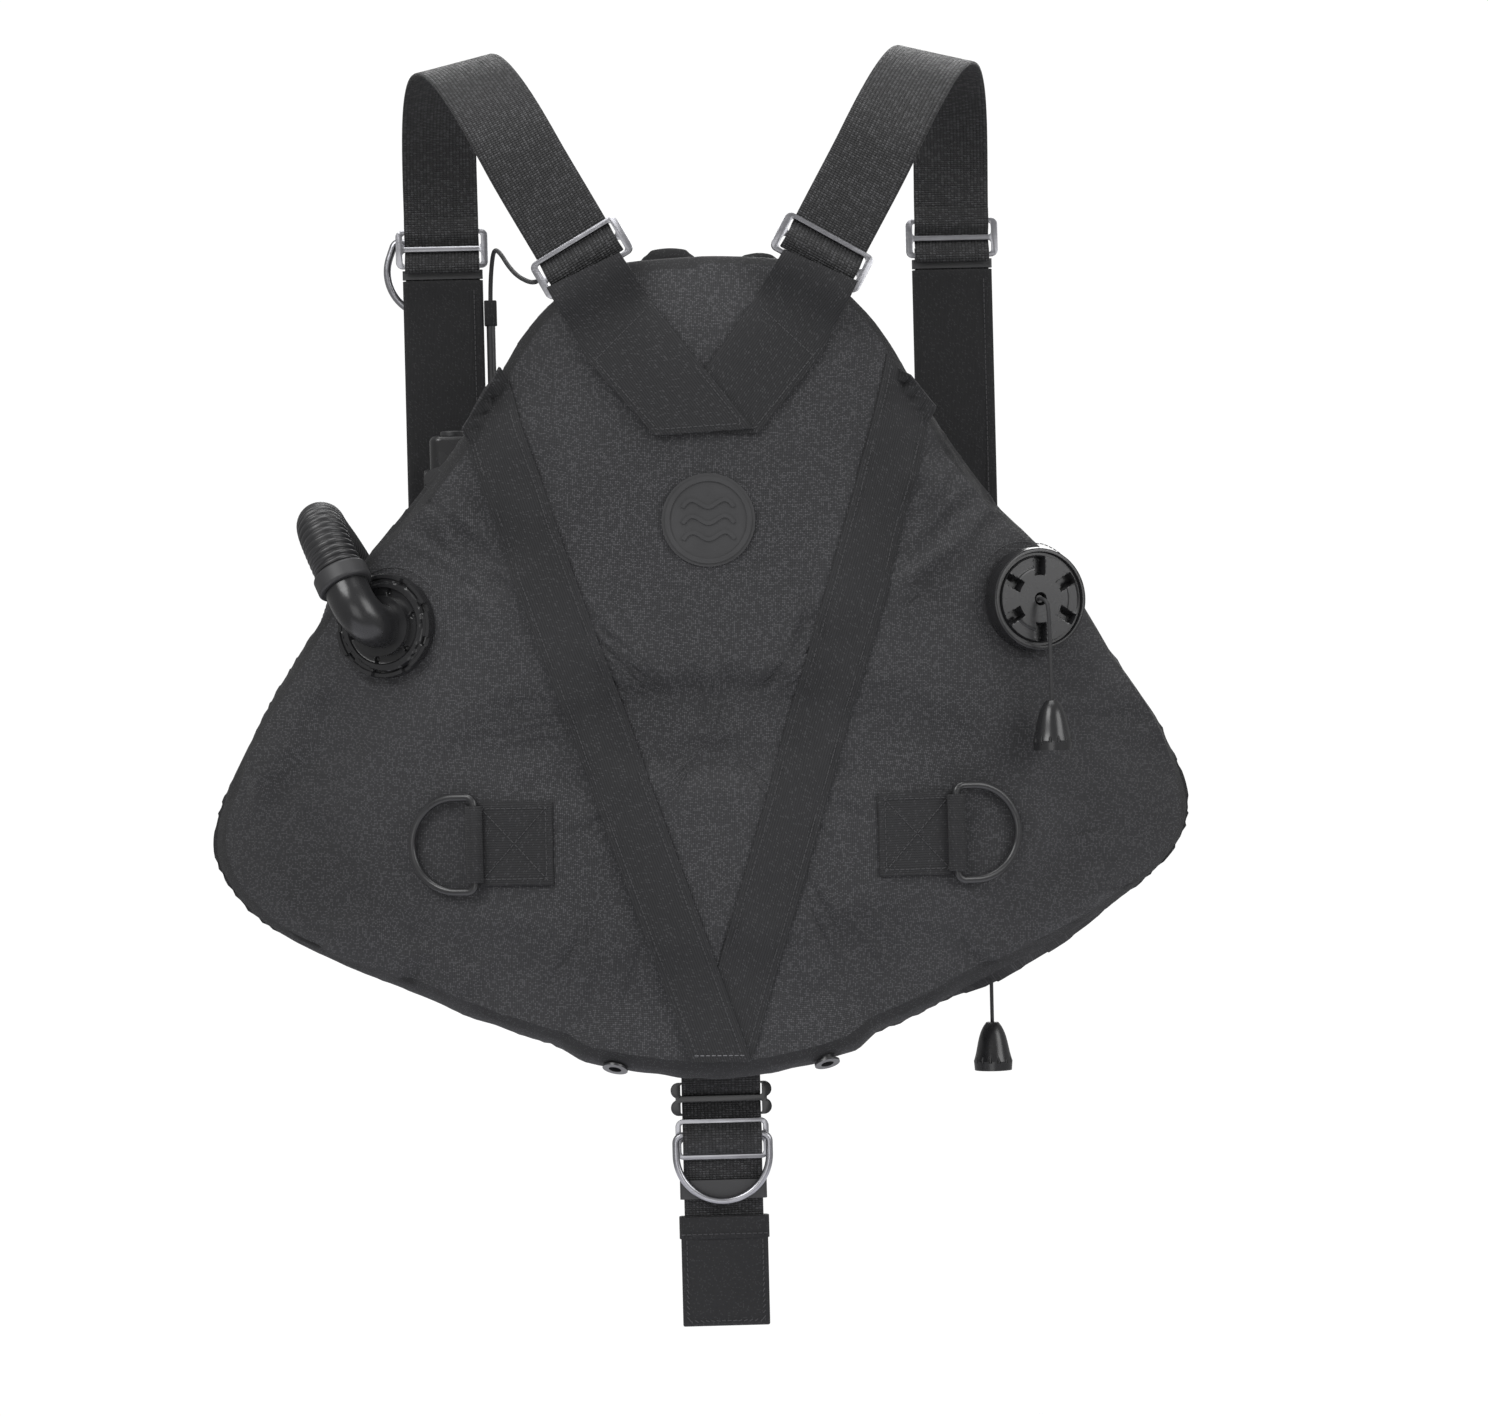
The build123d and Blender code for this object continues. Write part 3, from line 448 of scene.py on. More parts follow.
def ribbon(name, spots, acrosses, material, width=webbingWidth, thick=webbingThick, rounds=3):
    # webbing with rolled edges; spots is its middle line, acrosses the way over its width
    spots = roundedCorners([Vector(s) for s in spots], rounds)
    acrosses = roundedCorners([Vector(a) for a in acrosses], rounds)
    profile = []
    edge = thick / 2
    for side in (1, -1):
        for step in range(5):
            angle = math.radians(90 - 45 * step) * side
            profile.append((side * (width / 2 - edge + edge * math.cos(angle)), edge * math.sin(angle)))
        for step in range(1, 8):
            profile.append((side * (width / 2 - edge) * (1 - step / 4), -edge * side))
    verts, uvs = [], []
    length = 0.0
    for i, (spot, across) in enumerate(zip(spots, acrosses)):
        run = (spots[min(i + 1, len(spots) - 1)] - spots[max(i - 1, 0)]).normalized()
        across = (across - run * across.dot(run)).normalized()
        normal = across.cross(run)
        if i:
            length += (spot - spots[i - 1]).length
        for x, y in profile:
            verts.append(spot + across * x + normal * y)
            uvs.append((x, length))
    piece = newPiece(name, verts, ringFaces(len(spots), len(profile)), material, uvs)
    faceOutwards(piece)
    return piece


def softened(node, material, width=0.5 * mm, angle=35):
    # a copy of a hard CAD piece with its sharp edges broken
    piece = nodes[node].copy()
    piece.data = nodes[node].data.copy()
    piece.name = node.split("_")[0] + "".join(word.capitalize() for word in node.split("_")[1:]) + "Soft"
    piece.parent = None
    scene.collection.objects.link(piece)
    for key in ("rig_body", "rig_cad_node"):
        if key in piece:
            del piece[key]
    bm = bmesh.new()
    bm.from_mesh(piece.data)
    bmesh.ops.remove_doubles(bm, verts=bm.verts, dist=1e-6)
    bmesh.ops.dissolve_limit(bm, angle_limit=math.radians(1), verts=bm.verts, edges=bm.edges)
    bm.to_mesh(piece.data)
    bm.free()
    smoothed(piece.data)
    bevel = piece.modifiers.new("brokenEdges", "BEVEL")
    bevel.width = width
    bevel.segments = 2
    bevel.limit_method = "ANGLE"
    bevel.angle_limit = math.radians(angle)
    bevel.use_clamp_overlap = True
    bevel.harden_normals = True
    baked(piece)
    piece.data.materials.clear()
    piece.data.materials.append(materials[material])
    return piece


def inflate(piece, pressure, cap, frames, spread=0.0):
    # lets the air or foam in a closed mesh push its cloth out, then keeps each point within the cap
    rest = [v.co.copy() for v in piece.data.vertices]
    cloth = piece.modifiers.new("pillow", "CLOTH")
    cloth.settings.quality = 4
    cloth.settings.use_pressure = True
    cloth.settings.uniform_pressure_force = pressure
    cloth.settings.tension_stiffness = 25
    cloth.settings.bending_stiffness = 0.2
    cloth.settings.shrink_min = -spread
    cloth.settings.effector_weights.gravity = 0
    cloth.collision_settings.use_collision = False
    cloth.point_cache.frame_start = 1
    cloth.point_cache.frame_end = frames
    for f in range(1, frames + 1):
        scene.frame_set(f)
    done = evaluated(piece)
    for vertex, moved, before in zip(piece.data.vertices, done.vertices, rest):
        way = moved.co - before
        if way.length > cap:
            way *= cap / way.length
        vertex.co = before + way
    piece.modifiers.clear()
    bpy.data.meshes.remove(done)
    scene.frame_set(1)


# ---- the wing: outer panel, gusset and lining, as one closed shell filled with a little air

wrapR = 540 * mm
wrapY = 415 * mm
innerR = 490 * mm
middleR = (wrapR + innerR) / 2
wing = {
    "centre": (0.0, -0.43),
    "probes": 1440,  # rays that find the outline
    "around": 420,  # points on it
    "panelRings": 44,
    "gussetRings": 9,
    "liningRings": 26,
    "edgeDrop": 13 * mm,  # how far the panel rolls over before its seam
    "rollWidth": 70 * mm,
    "pressure": 5.0,
    "reach": 12 * mm,  # the furthest that the air may move any point
    "cap": 5 * mm,  # and the furthest out of the panel
    "pucker": 1.6 * mm,
}


def onWrap(x, z, radius):
    turn = math.asin(max(-1, min(1, x / wrapR)))
    return Vector((radius * math.sin(turn), wrapY - radius * math.cos(turn), z))


def wrapNormal(x):
    turn = math.asin(max(-1, min(1, x / wrapR)))
    return Vector((math.sin(turn), -math.cos(turn), 0))


def readOutline(w):
    # the wing's outline in X and Z, from the CAD gusset flattened about its middle surface
    mesh = nodes["edge_gusset"].data
    flat = []
    for v in mesh.vertices:
        middle = wrapY - math.sqrt(middleR**2 - v.co.x**2)
        flat.append(Vector((v.co.x, v.co.y - middle, v.co.z)))
    tree = BVHTree.FromPolygons(flat, [tuple(p.vertices) for p in mesh.polygons])
    centre = Vector((w["centre"][0], 0, w["centre"][1]))
    points = []
    for step in range(w["probes"]):
        angle = math.tau * step / w["probes"]
        way = Vector((math.cos(angle), 0, math.sin(angle)))
        hit = tree.ray_cast(centre + way * 0.8, -way)[0]
        if hit is not None:
            points.append(Vector((hit.x, hit.z)))
    lengths = [0.0]
    for a, b in zip(points, points[1:] + points[:1]):
        lengths.append(lengths[-1] + (b - a).length)
    closed = points + points[:1]
    marks = np.linspace(0, lengths[-1], w["around"], endpoint=False)
    xs = np.interp(marks, lengths, [p.x for p in closed])
    zs = np.interp(marks, lengths, [p.y for p in closed])
    return [Vector((x, z)) for x, z in zip(xs, zs)]


def seamInset(point):
    # the seam lies further in where the edge slants away below
    low = max(0.0, min(1.0, (-0.50 - point.y) / 0.1))
    left = 1.0 if point.x < 0 else 0.45
    return (4 + 9 * low + 5 * left * (1 - low)) * mm


def wrinkle(angle, seed, coarse=9.0):
    return noise.noise(Vector((math.cos(angle) * coarse, math.sin(angle) * coarse, seed)))


def wingPoint(outline, i, band, share, w):
    # band 0 is the outer panel, 1 the gusset, 2 the lining; share runs 0 to 1 across each
    centre = Vector(w["centre"])
    edge = outline[i]
    inwards = (centre - edge).normalized()
    angle = math.atan2(edge.y - centre.y, edge.x - centre.x)
    seam = edge + inwards * seamInset(edge)
    reach = (seam - centre).length
    # along the bottom the seam stays out level and the gusset leans in from it, where the eyelets are
    bottom = max(0.0, min(1.0, (-0.58 - edge.y) / 0.04))
    edgeDrop = w["edgeDrop"] * (1 - 0.8 * bottom)
    if band == 1:
        swell = math.sin(math.pi * share) ** (1 - 0.4 * bottom)
        flat = seam + (edge - seam) * swell * (0.92 + 0.08 * wrinkle(angle, 3.0, 14))
        depth = edgeDrop + (wrapR - innerR - 2 * edgeDrop) * share
        return flat, wrapR - depth
    flat = centre + (seam - centre) * share
    left = (1 - share) * reach
    roll = max(0.0, 1 - left / w["rollWidth"])
    drop = edgeDrop * roll**2.4
    crease = w["pucker"] * wrinkle(angle, 7.0, 26) * roll**1.5
    slack = 1.35 if edge.x > 0.1 else 0.6
    drop += crease * slack
    if band == 2:
        return flat, innerR + drop
    return flat, wrapR - drop


def buildWing(w):
    outline = readOutline(w)
    count = len(outline)
    # each ring is a band and its share across it; a panel's rings lie closer together towards its seam
    def panelShare(r, count):
        return 0.06 + 0.94 * (r / (count - 1)) ** 0.85

    rings = [(0, panelShare(r, w["panelRings"])) for r in range(w["panelRings"])]
    rings += [(1, r / (w["gussetRings"] + 1)) for r in range(1, w["gussetRings"] + 1)]
    rings += [(2, panelShare(r, w["liningRings"])) for r in reversed(range(w["liningRings"]))]
    verts, uvs = [], []
    for band, share in rings:
        for i in range(count):
            flat, radius = wingPoint(outline, i, band, share, w)
            verts.append(onWrap(flat.x * wrapR / radius, flat.y, radius))  # the walls run straight back
            uvs.append((wrapR * math.asin(flat.x / wrapR), flat.y))
    faces, bands = [], []
    for r in range(len(rings) - 1):
        band = 0 if r < w["panelRings"] - 1 else 1 if r < w["panelRings"] + w["gussetRings"] else 2
        for i in range(count):
            j = (i + 1) % count
            faces.append((r * count + i, (r + 1) * count + i, (r + 1) * count + j, r * count + j))
            bands.append(band)
    for start, band in ((0, 0), ((len(rings) - 1) * count, 2)):
        flat = Vector(w["centre"])
        verts.append(onWrap(flat.x, flat.y, wrapR if band == 0 else innerR))
        uvs.append((0, flat.y))
        for i in range(count):
            faces.append((start + i, start + (i + 1) % count, len(verts) - 1))
            bands.append(band)
    shell = newPiece("wingShell", verts, faces, "panelCloth", uvs)
    for name in ("gussetCloth", "liningCloth"):
        shell.data.materials.append(materials[name])
    for polygon, band in zip(shell.data.polygons, bands):
        polygon.material_index = band
    faceOutwards(shell)
    return shell


# hard pieces that the cloth must stay level with: place in X and Z, and radius, on the outside and the inside
quietOutside = [
    (-0.203, -0.360, 0.05), (0.203, -0.353, 0.05),  # inflator flange and dump valve
    (-0.160, -0.498, 0.055), (0.160, -0.498, 0.055),  # ring tabs
    (0.0, -0.19, 0.13), (0.0, -0.655, 0.06),  # yoke and crotch strap
    (-0.066, -0.64, 0.03), (0.066, -0.64, 0.03),  # eyelets
]
quietInside = [
    (0.187, -0.556, 0.055), (-0.150, -0.40, 0.12),  # lower valve and zip
    (0.0, -0.33, 0.16), (0.0, -0.5, 0.14),  # back plate
]


def settle(shell, before, cap):
    # what the air moved, less near the hard pieces, and never out through what is sewn on
    for vertex, start in zip(shell.data.vertices, before):
        way = vertex.co - start
        normal = wrapNormal(start.x)
        outside = start.y < wrapY - math.sqrt(middleR**2 - start.x**2)
        share = 1.0
        for x, z, radius in quietOutside if outside else quietInside:
            gone = math.hypot(start.x - x, start.z - z) / radius
            share *= max(0.0, min(1.0, (gone - 0.7) / 0.6))
        lift = way.dot(normal)
        limit = cap if outside else cap * 0.8
        side = 1 if outside else -1
        lift = side * max(-limit, min(limit * 0.5, side * lift))
        vertex.co = start + (way - normal * way.dot(normal)) * share * 0.5 + normal * lift * share


wingShell = buildWing(wing)
wingStart = [v.co.copy() for v in wingShell.data.vertices]
inflate(wingShell, wing["pressure"], wing["reach"], frames=16, spread=0.02)
settle(wingShell, wingStart, wing["cap"])
print("wing filled", len(wingShell.data.vertices))


def surfaceTree(piece):
    return BVHTree.FromPolygons([v.co.copy() for v in piece.data.vertices],
                                [tuple(p.vertices) for p in piece.data.polygons])


wingTree = surfaceTree(wingShell)


def onCloth(x, z, lift=0.0):
    # the outer panel as it lies now
    normal = wrapNormal(x)
    hit = wingTree.ray_cast(onWrap(x, z, wrapR) + normal * 0.06, -normal)[0]
    rest = onWrap(x, z, wrapR - wing["edgeDrop"] / 2)
    if hit is None or (hit - rest).dot(normal) < -10 * mm:
        hit = rest
    return hit + normal * lift, normal


def splitShell(shell):
    # parts the swelled shell into its three cloths, each with its own name
    cloths = [("outerPanelCloth", "panel_fabric", ["outer_panel", "air_bladder"]),
              ("edgeGussetCloth", "binding_fabric", ["edge_gusset"]),
              ("liningPanelCloth", "panel_fabric", ["inner_panel"])]
    flat = shell.data.uv_layers["flatCloth"].data
    for index, (name, slotName, replaced) in enumerate(cloths):
        kept, verts, faces, uvs = {}, [], [], []
        for polygon in shell.data.polygons:
            if polygon.material_index != index:
                continue
            face = []
            for loop in polygon.loop_indices:
                old = shell.data.loops[loop].vertex_index
                if old not in kept:
                    kept[old] = len(verts)
                    verts.append(shell.data.vertices[old].co)
                    uvs.append(tuple(flat[loop].uv))
                face.append(kept[old])
            faces.append(face)
        part = newPiece(name, verts, faces, shell.data.materials[index].name, uvs)
        place(part, "vest", slotName, *replaced)
    bpy.data.objects.remove(shell)


# ---- stitches: rows are collected while pieces are made, and sewn at the end

stitchRows = {"seamThread": [], "paleThread": []}


def newNodes(name, sizes, finish):
    # an empty node tree with named sizes in metres and one material to give its mesh
    tree = bpy.data.node_groups.new(name, "GeometryNodeTree")
    tree.interface.new_socket("Geometry", in_out="INPUT", socket_type="NodeSocketGeometry")
    for label, value in sizes.items():
        socket = tree.interface.new_socket(label, in_out="INPUT", socket_type="NodeSocketFloat")
        socket.default_value = value
    tree.interface.new_socket(finish, in_out="INPUT", socket_type="NodeSocketMaterial")
    tree.interface.new_socket("Geometry", in_out="OUTPUT", socket_type="NodeSocketGeometry")
    sheet = Sheet(tree)
    return sheet, sheet.add("NodeGroupInput").outputs, sheet.add("NodeGroupOutput").inputs


def finishNodes(sheet, made, finish, out):
    # real mesh, with its material
    real = sheet.add("GeometryNodeRealizeInstances")
    sheet.link(made, real.inputs["Geometry"])
    paint = sheet.add("GeometryNodeSetMaterial")
    sheet.link(real.outputs["Geometry"], paint.inputs["Geometry"])
    sheet.link(finish, paint.inputs["Material"])
    sheet.link(paint.outputs["Geometry"], out["Geometry"])
    return sheet.tree


def stitchTree():
    # a row of short stitches along the edges of a mesh
    sizes = {"Pitch": 3.4 * mm, "Length": 2.4 * mm, "Thickness": 0.6 * mm}
    sheet, given, out = newNodes("stitchRow", sizes, "Thread")
    curve = sheet.add("GeometryNodeMeshToCurve")
    sheet.link(given["Geometry"], curve.inputs["Mesh"])
    points = sheet.add("GeometryNodeCurveToPoints", mode="LENGTH")
    sheet.link(curve.outputs["Curve"], points.inputs["Curve"])
    sheet.link(given["Pitch"], points.inputs["Length"])
    turn = sheet.add("FunctionNodeAlignRotationToVector", axis="Z")
    sheet.link(points.outputs["Tangent"], turn.inputs["Vector"])
    stitch = sheet.add("GeometryNodeMeshCylinder")
    stitch.inputs["Vertices"].default_value = 6
    half = sheet.math("MULTIPLY", given["Thickness"], 0.5)
    sheet.link(half, stitch.inputs["Radius"])
    sheet.link(given["Length"], stitch.inputs["Depth"])
    sewn = sheet.add("GeometryNodeInstanceOnPoints")
    sheet.link(points.outputs["Points"], sewn.inputs["Points"])
    sheet.link(stitch.outputs["Mesh"], sewn.inputs["Instance"])
    sheet.link(turn.outputs["Rotation"], sewn.inputs["Rotation"])
    return finishNodes(sheet, sewn.outputs["Instances"], given["Thread"], out)


def setInputs(modifier, **values):
    for item in modifier.node_group.interface.items_tree:
        if item.item_type == "SOCKET" and item.in_out == "INPUT" and item.name in values:
            modifier[item.identifier] = values[item.name]


def applyNodes(piece, tree, **values):
    modifier = piece.modifiers.new(tree.name, "NODES")
    modifier.node_group = tree
    setInputs(modifier, **values)
    result = evaluated(piece)
    name = piece.name
    bpy.data.objects.remove(piece)
    made = bpy.data.objects.new(name, result)
    scene.collection.objects.link(made)
    return made


def sewRows(rows, name, thread, **sizes):
    verts, edges = [], []
    for row in rows:
        for i, spot in enumerate(row):
            verts.append(tuple(spot))
            if i:
                edges.append((len(verts) - 2, len(verts) - 1))
    mesh = bpy.data.meshes.new(name)
    mesh.from_pydata(verts, edges, [])
    rowsPiece = bpy.data.objects.new(name, mesh)
    scene.collection.objects.link(rowsPiece)
    made = applyNodes(rowsPiece, stitchTree(), Thread=materials[thread], **sizes)
    return place(made, "vest", "ribbed_strap")


def clothRow(points, lift, thread="seamThread", step=5 * mm):
    # a row of stitches over the outer panel, through points given in X and Z
    row = []
    for a, b in zip(points, points[1:]):
        a, b = Vector(a), Vector(b)
        count = max(2, int((b - a).length / step))
        row += [onCloth(*(a + (b - a) * i / count), lift)[0] for i in range(count)]
    row.append(onCloth(*points[-1], lift)[0])
    stitchRows[thread].append(row)


def insetOutline(points, inset):
    # the outline moved inwards by the same distance all round
    points = [Vector(p) for p in points]
    area = sum(a.x * b.y - b.x * a.y for a, b in zip(points, points[1:] + points[:1]))
    way = 1 if area > 0 else -1
    moved = []
    for before, here, after in zip(points[-1:] + points[:-1], points, points[1:] + points[:1]):
        one = (here - before).normalized()
        two = (after - here).normalized()
        bisector = (Vector((-one.y, one.x)) + Vector((-two.y, two.x))).normalized() * way
        half = max(0.3, bisector.dot(Vector((-one.y, one.x)) * way))
        moved.append(here + bisector * inset / half)
    return moved


# ---- straps and tabs sewn to the outer panel

barRise = 9.3 * mm  # how far a folded strap end stands off the panel to pass over a slider's bar


def sewnStrap(name, outline, lift, thick, material, run, cell=7 * mm, raised=None):
    # a flat piece cut to an outline in X and Z, laid on the cloth; run is the way its threads go
    run = Vector(run).normalized()
    across = Vector((run.y, -run.x))
    bm = bmesh.new()
    bm.faces.new([bm.verts.new((x, z, 0)) for x, z in outline])
    for way in (run, across):
        ends = [Vector(p).dot(way) for p in outline]
        for step in range(1, int((max(ends) - min(ends)) / cell) + 1):
            spot = way * (min(ends) + step * cell)
            bmesh.ops.bisect_plane(bm, geom=bm.verts[:] + bm.edges[:] + bm.faces[:],
                                   plane_co=(spot.x, spot.y, 0), plane_no=(way.x, way.y, 0))
    layer = bm.loops.layers.uv.new("flatCloth")
    for face in bm.faces:
        for loop in face.loops:
            flat = Vector(loop.vert.co[:2])
            loop[layer].uv = (flat.dot(across), flat.dot(run))
    for vertex in bm.verts:
        x, z = vertex.co.x, vertex.co.y
        share = raised(x, z) if raised else 0.0
        low = onCloth(x, z, lift + thick)[0]
        vertex.co = low * (1 - share) + onWrap(x, z, wrapR + lift + thick + barRise) * share
    mesh = bpy.data.meshes.new(name)
    bmesh.ops.recalc_face_normals(bm, faces=bm.faces)
    if sum(f.normal.y for f in bm.faces) > 0:
        bmesh.ops.reverse_faces(bm, faces=bm.faces)
    bm.to_mesh(mesh)
    bm.free()
    mesh.materials.append(materials[material])
    piece = bpy.data.objects.new(name, smoothed(mesh))
    scene.collection.objects.link(piece)
    wall = piece.modifiers.new("wall", "SOLIDIFY")
    wall.thickness = thick + lift * 0.8
    wall.offset = -1
    rim = piece.modifiers.new("rim", "BEVEL")
    rim.width = 0.5 * mm
    rim.segments = 2
    rim.limit_method = "ANGLE"
    rim.angle_limit = math.radians(50)
    return baked(piece)


def inMetres(points):
    return [(x * mm, z * mm) for x, z in points]


strapCuts = {
    "left": inMetres([(-127.7, -201), (18.8, -636.6), (-18.4, -636), (-153.6, -239)]),
    "right": inMetres([(117.7, -197), (-19, -636), (18.5, -636.5), (146, -231)]),
}
yokeCut = inMetres([(-94.2, -154), (-73.4, -197.6), (-31.8, -247), (29, -244), (-2, -204), (-33, -162),
                    (-49.7, -134)])
backSlider = (73.4 * mm, -136 * mm)
backTurn = math.radians(29)


def overBar(side):
    # the folded top of a yoke tab rises over the slider's lower bar: 1 on the bar, 0 where the tab lies flat
    def rise(x, z):
        way = Vector((-side * math.sin(backTurn), -math.cos(backTurn)))
        gone = (Vector((x, z)) - Vector((side * backSlider[0], backSlider[1]))).dot(way)
        share = max(0.0, min(1.0, (40 * mm - gone) / (24 * mm)))
        return share * share * (3 - 2 * share)
    return rise


for name, lift, thick in (("right", 0.3 * mm, 1.2 * mm), ("left", 1.5 * mm, 1.5 * mm)):
    cut = strapCuts[name]
    run = Vector(cut[1]) - Vector(cut[0])
    strap = sewnStrap(f"vStrap{name.capitalize()}", cut, lift, thick, "strapTwill", run)
    place(strap, "vest", "ribbed_strap", f"v_strap_{name}")
    inner = insetOutline(cut, 4.2 * mm)
    clothRow([inner[1], inner[0]], lift + thick, "seamThread")
    clothRow([inner[3], inner[2]], lift + thick, "seamThread")
    clothRow([inner[1], inner[2]], lift + thick, "paleThread")

for name, side, lift in (("right", 1, 0.4 * mm), ("left", -1, 2.6 * mm)):
    cut = [(-side * x, z) for x, z in yokeCut]
    run = Vector((-side * 0.72, -1.0))
    rise = overBar(side)
    tab = sewnStrap(f"yokeTab{name.capitalize()}", cut, lift, 1.9 * mm, "strapTwill", run, raised=rise)
    place(tab, "vest", "ribbed_strap", f"yoke_tab_{name}")
    inner = insetOutline(cut, 3.6 * mm)
    clothRow(inner[1:5], lift + 1.9 * mm, "seamThread")
    bend = [(side * 37.4 * mm, -170 * mm), (side * 66.6 * mm, -198.5 * mm)]
    clothRow(bend, lift + 1.9 * mm, "seamThread")
print("sewn straps laid")

ringTab = {
    "x": 125 * mm, "z": -498 * mm, "width": 48 * mm, "height": 52 * mm,
    "roll": 5.4 * mm, "barOut": 5.8 * mm,
}


def tabCut(side, t):
    return [(side * t["x"] + t["width"] / 2 * i, t["z"] + t["height"] / 2 * j)
            for i, j in ((-1, -1), (1, -1), (1, 1), (-1, 1))]


def ringRoll(name, spot, axis, out, half, radius, material):
    # webbing folded round a ring's bar: an open-ended roll with rounded rims
    verts, uvs = [], []
    steps = 20
    rim = 0.6 * mm
    ends = [(-half, 0.55), (-half, 0.95), (rim - half, 1.0), (half - rim, 1.0), (half, 0.95), (half, 0.55)]
    side = axis.cross(out)
    for along, share in ends:
        for k in range(steps):
            angle = math.tau * k / steps
            roundWay = out * math.cos(angle) + side * math.sin(angle)
            verts.append(spot + axis * along + roundWay * radius * share)
            uvs.append((along, radius * angle))
    piece = newPiece(name, verts, ringFaces(len(ends), steps, closed=True), material, uvs)
    faceOutwards(piece)
    return piece


for name, side in sides.items():
    cut = tabCut(side, ringTab)
    tab = sewnStrap(f"ringTab{name.capitalize()}", cut, 0.3 * mm, 2.0 * mm, "strapTwill", (1, 0))
    place(tab, "vest", "ribbed_strap", f"d_ring_tab_{name}")
    barX = side * (ringTab["x"] + ringTab["width"] / 2)
    out = wrapNormal(barX)
    bar = onWrap(barX, ringTab["z"], wrapR) + out * ringTab["barOut"]
    roll = ringRoll(f"ringRoll{name.capitalize()}", bar, Vector((0, 0, 1)), out, ringTab["width"] / 2,
                    ringTab["roll"], "strapTwill")
    place(roll, "vest", "ribbed_strap")
    inner = insetOutline(cut, 4 * mm)
    clothRow(inner + inner[:1], 2.5 * mm)
    clothRow([inner[0], inner[2]], 2.6 * mm)
    clothRow([inner[1], inner[3]], 2.6 * mm)
print("ring tabs sewn")

# ---- shoulder straps: webbing threaded through the two sliders and wrapped over the shoulder

shoulder = {
    "x": 172 * mm, "frontY": 104 * mm, "bendY": -8 * mm, "depth": 112 * mm, "rise": 90 * mm, "tilt": 13.5,
    "chestZ": -103 * mm, "behind": 2.9 * mm, "lift": 7.6 * mm,
}
# each as mm up the webbing and shares of the step from bar to bar
threadPaths = {
    "back": [(-8.5, -0.5), (-2.6, 1), (2.6, 1), (9.0, -1), (15.0, -1), (22.0, -1)],
    "chest": [(-15.5, -0.4), (-13.5, -1), (-8.6, -1), (-2.8, 1), (2.8, 1), (8.6, -1), (15.0, -1), (22.0, -1)],
}


def sliderAxes(kind, side, s):
    # a slider's middle, the way across the webbing, the way up it, and out of it
    if kind == "chest":
        middle = Vector((side * s["x"], s["frontY"], s["chestZ"]))
        return middle, Vector((1, 0, 0)), Vector((0, 0, 1)), Vector((0, -1, 0))
    x, z = side * backSlider[0], backSlider[1]
    out = wrapNormal(x)
    flat = Vector((-out.y, out.x, 0))
    turn = -side * backTurn
    across = flat * math.cos(turn) + Vector((0, 0, 1)) * math.sin(turn)
    return onWrap(x, z, wrapR) + out * s["lift"], across, out.cross(across), out


def threaded(kind, side, face, s):
    middle, across, up, out = sliderAxes(kind, side, s)
    spots = [middle + up * (u * mm) + out * (face * v * s["behind"]) for u, v in threadPaths[kind]]
    return spots, [across] * len(spots)


def wrapSpot(side, angle, s):
    tilt = math.radians(s["tilt"])
    along = Vector((math.cos(tilt), 0, -math.sin(tilt)))
    rise = Vector((math.sin(tilt), 0, math.cos(tilt)))
    drift = -s["rise"] * math.tan(tilt)
    footZ = webbingThick / 2 - s["rise"] * math.cos(tilt) + drift * math.sin(tilt) * math.pi / 2
    turn = math.radians(angle)
    spot = Vector((s["x"], s["bendY"], footZ)) + along * (drift * turn) + rise * (s["rise"] * math.sin(turn))
    spot += Vector((0, s["depth"] * math.cos(turn), 0))
    roundWay = rise * (s["rise"] * math.cos(turn)) - Vector((0, s["depth"] * math.sin(turn), 0))
    run = (along * drift + roundWay).normalized()
    across = roundWay.normalized().cross(along).cross(run).normalized()
    return Vector((side * spot.x, spot.y, spot.z)), Vector((across.x, side * across.y, side * across.z))


for name, side in sides.items():
    spots, acrosses = threaded("chest", side, -1, shoulder)
    for angle in range(0, 181, 10):
        spot, across = wrapSpot(side, angle, shoulder)
        if across.dot(acrosses[-1]) < 0:
            across = -across
        spots.append(spot)
        acrosses.append(across)
    backSpots, backAcross = threaded("back", side, 1, shoulder)
    way = 1 if backAcross[0].dot(acrosses[-1]) > 0 else -1
    spots += backSpots[::-1]
    acrosses += [a * way for a in backAcross]
    strap = ribbon(f"shoulderWebbing{name.capitalize()}", spots, acrosses, "webbingWeave", rounds=2)
    place(strap, "vest", "webbing", f"shoulder_strap_{name}")
print("shoulder straps threaded")

# ---- front straps, their sleeves, and the waist belt

chest = {
    "y": 109 * mm, "top": -109 * mm, "bend": -302 * mm, "hipX": 95 * mm,
    "beltZ": -500 * mm, "beltY": 104.6 * mm,
    "sleeveTop": -124 * mm, "sleeveLow": -284 * mm, "sleeveWidth": 54 * mm, "sleeveThick": 8 * mm,
}


def flatRun(points, y):
    # webbing that bends in its own plane: its middle line and the way over its width
    line = roundedCorners([Vector((x, y, z)) for x, z in points], 4)
    acrosses = []
    for i in range(len(line)):
        run = (line[min(i + 1, len(line) - 1)] - line[max(i - 1, 0)]).normalized()
        acrosses.append(run.cross(Vector((0, 1, 0))))
    return line, acrosses


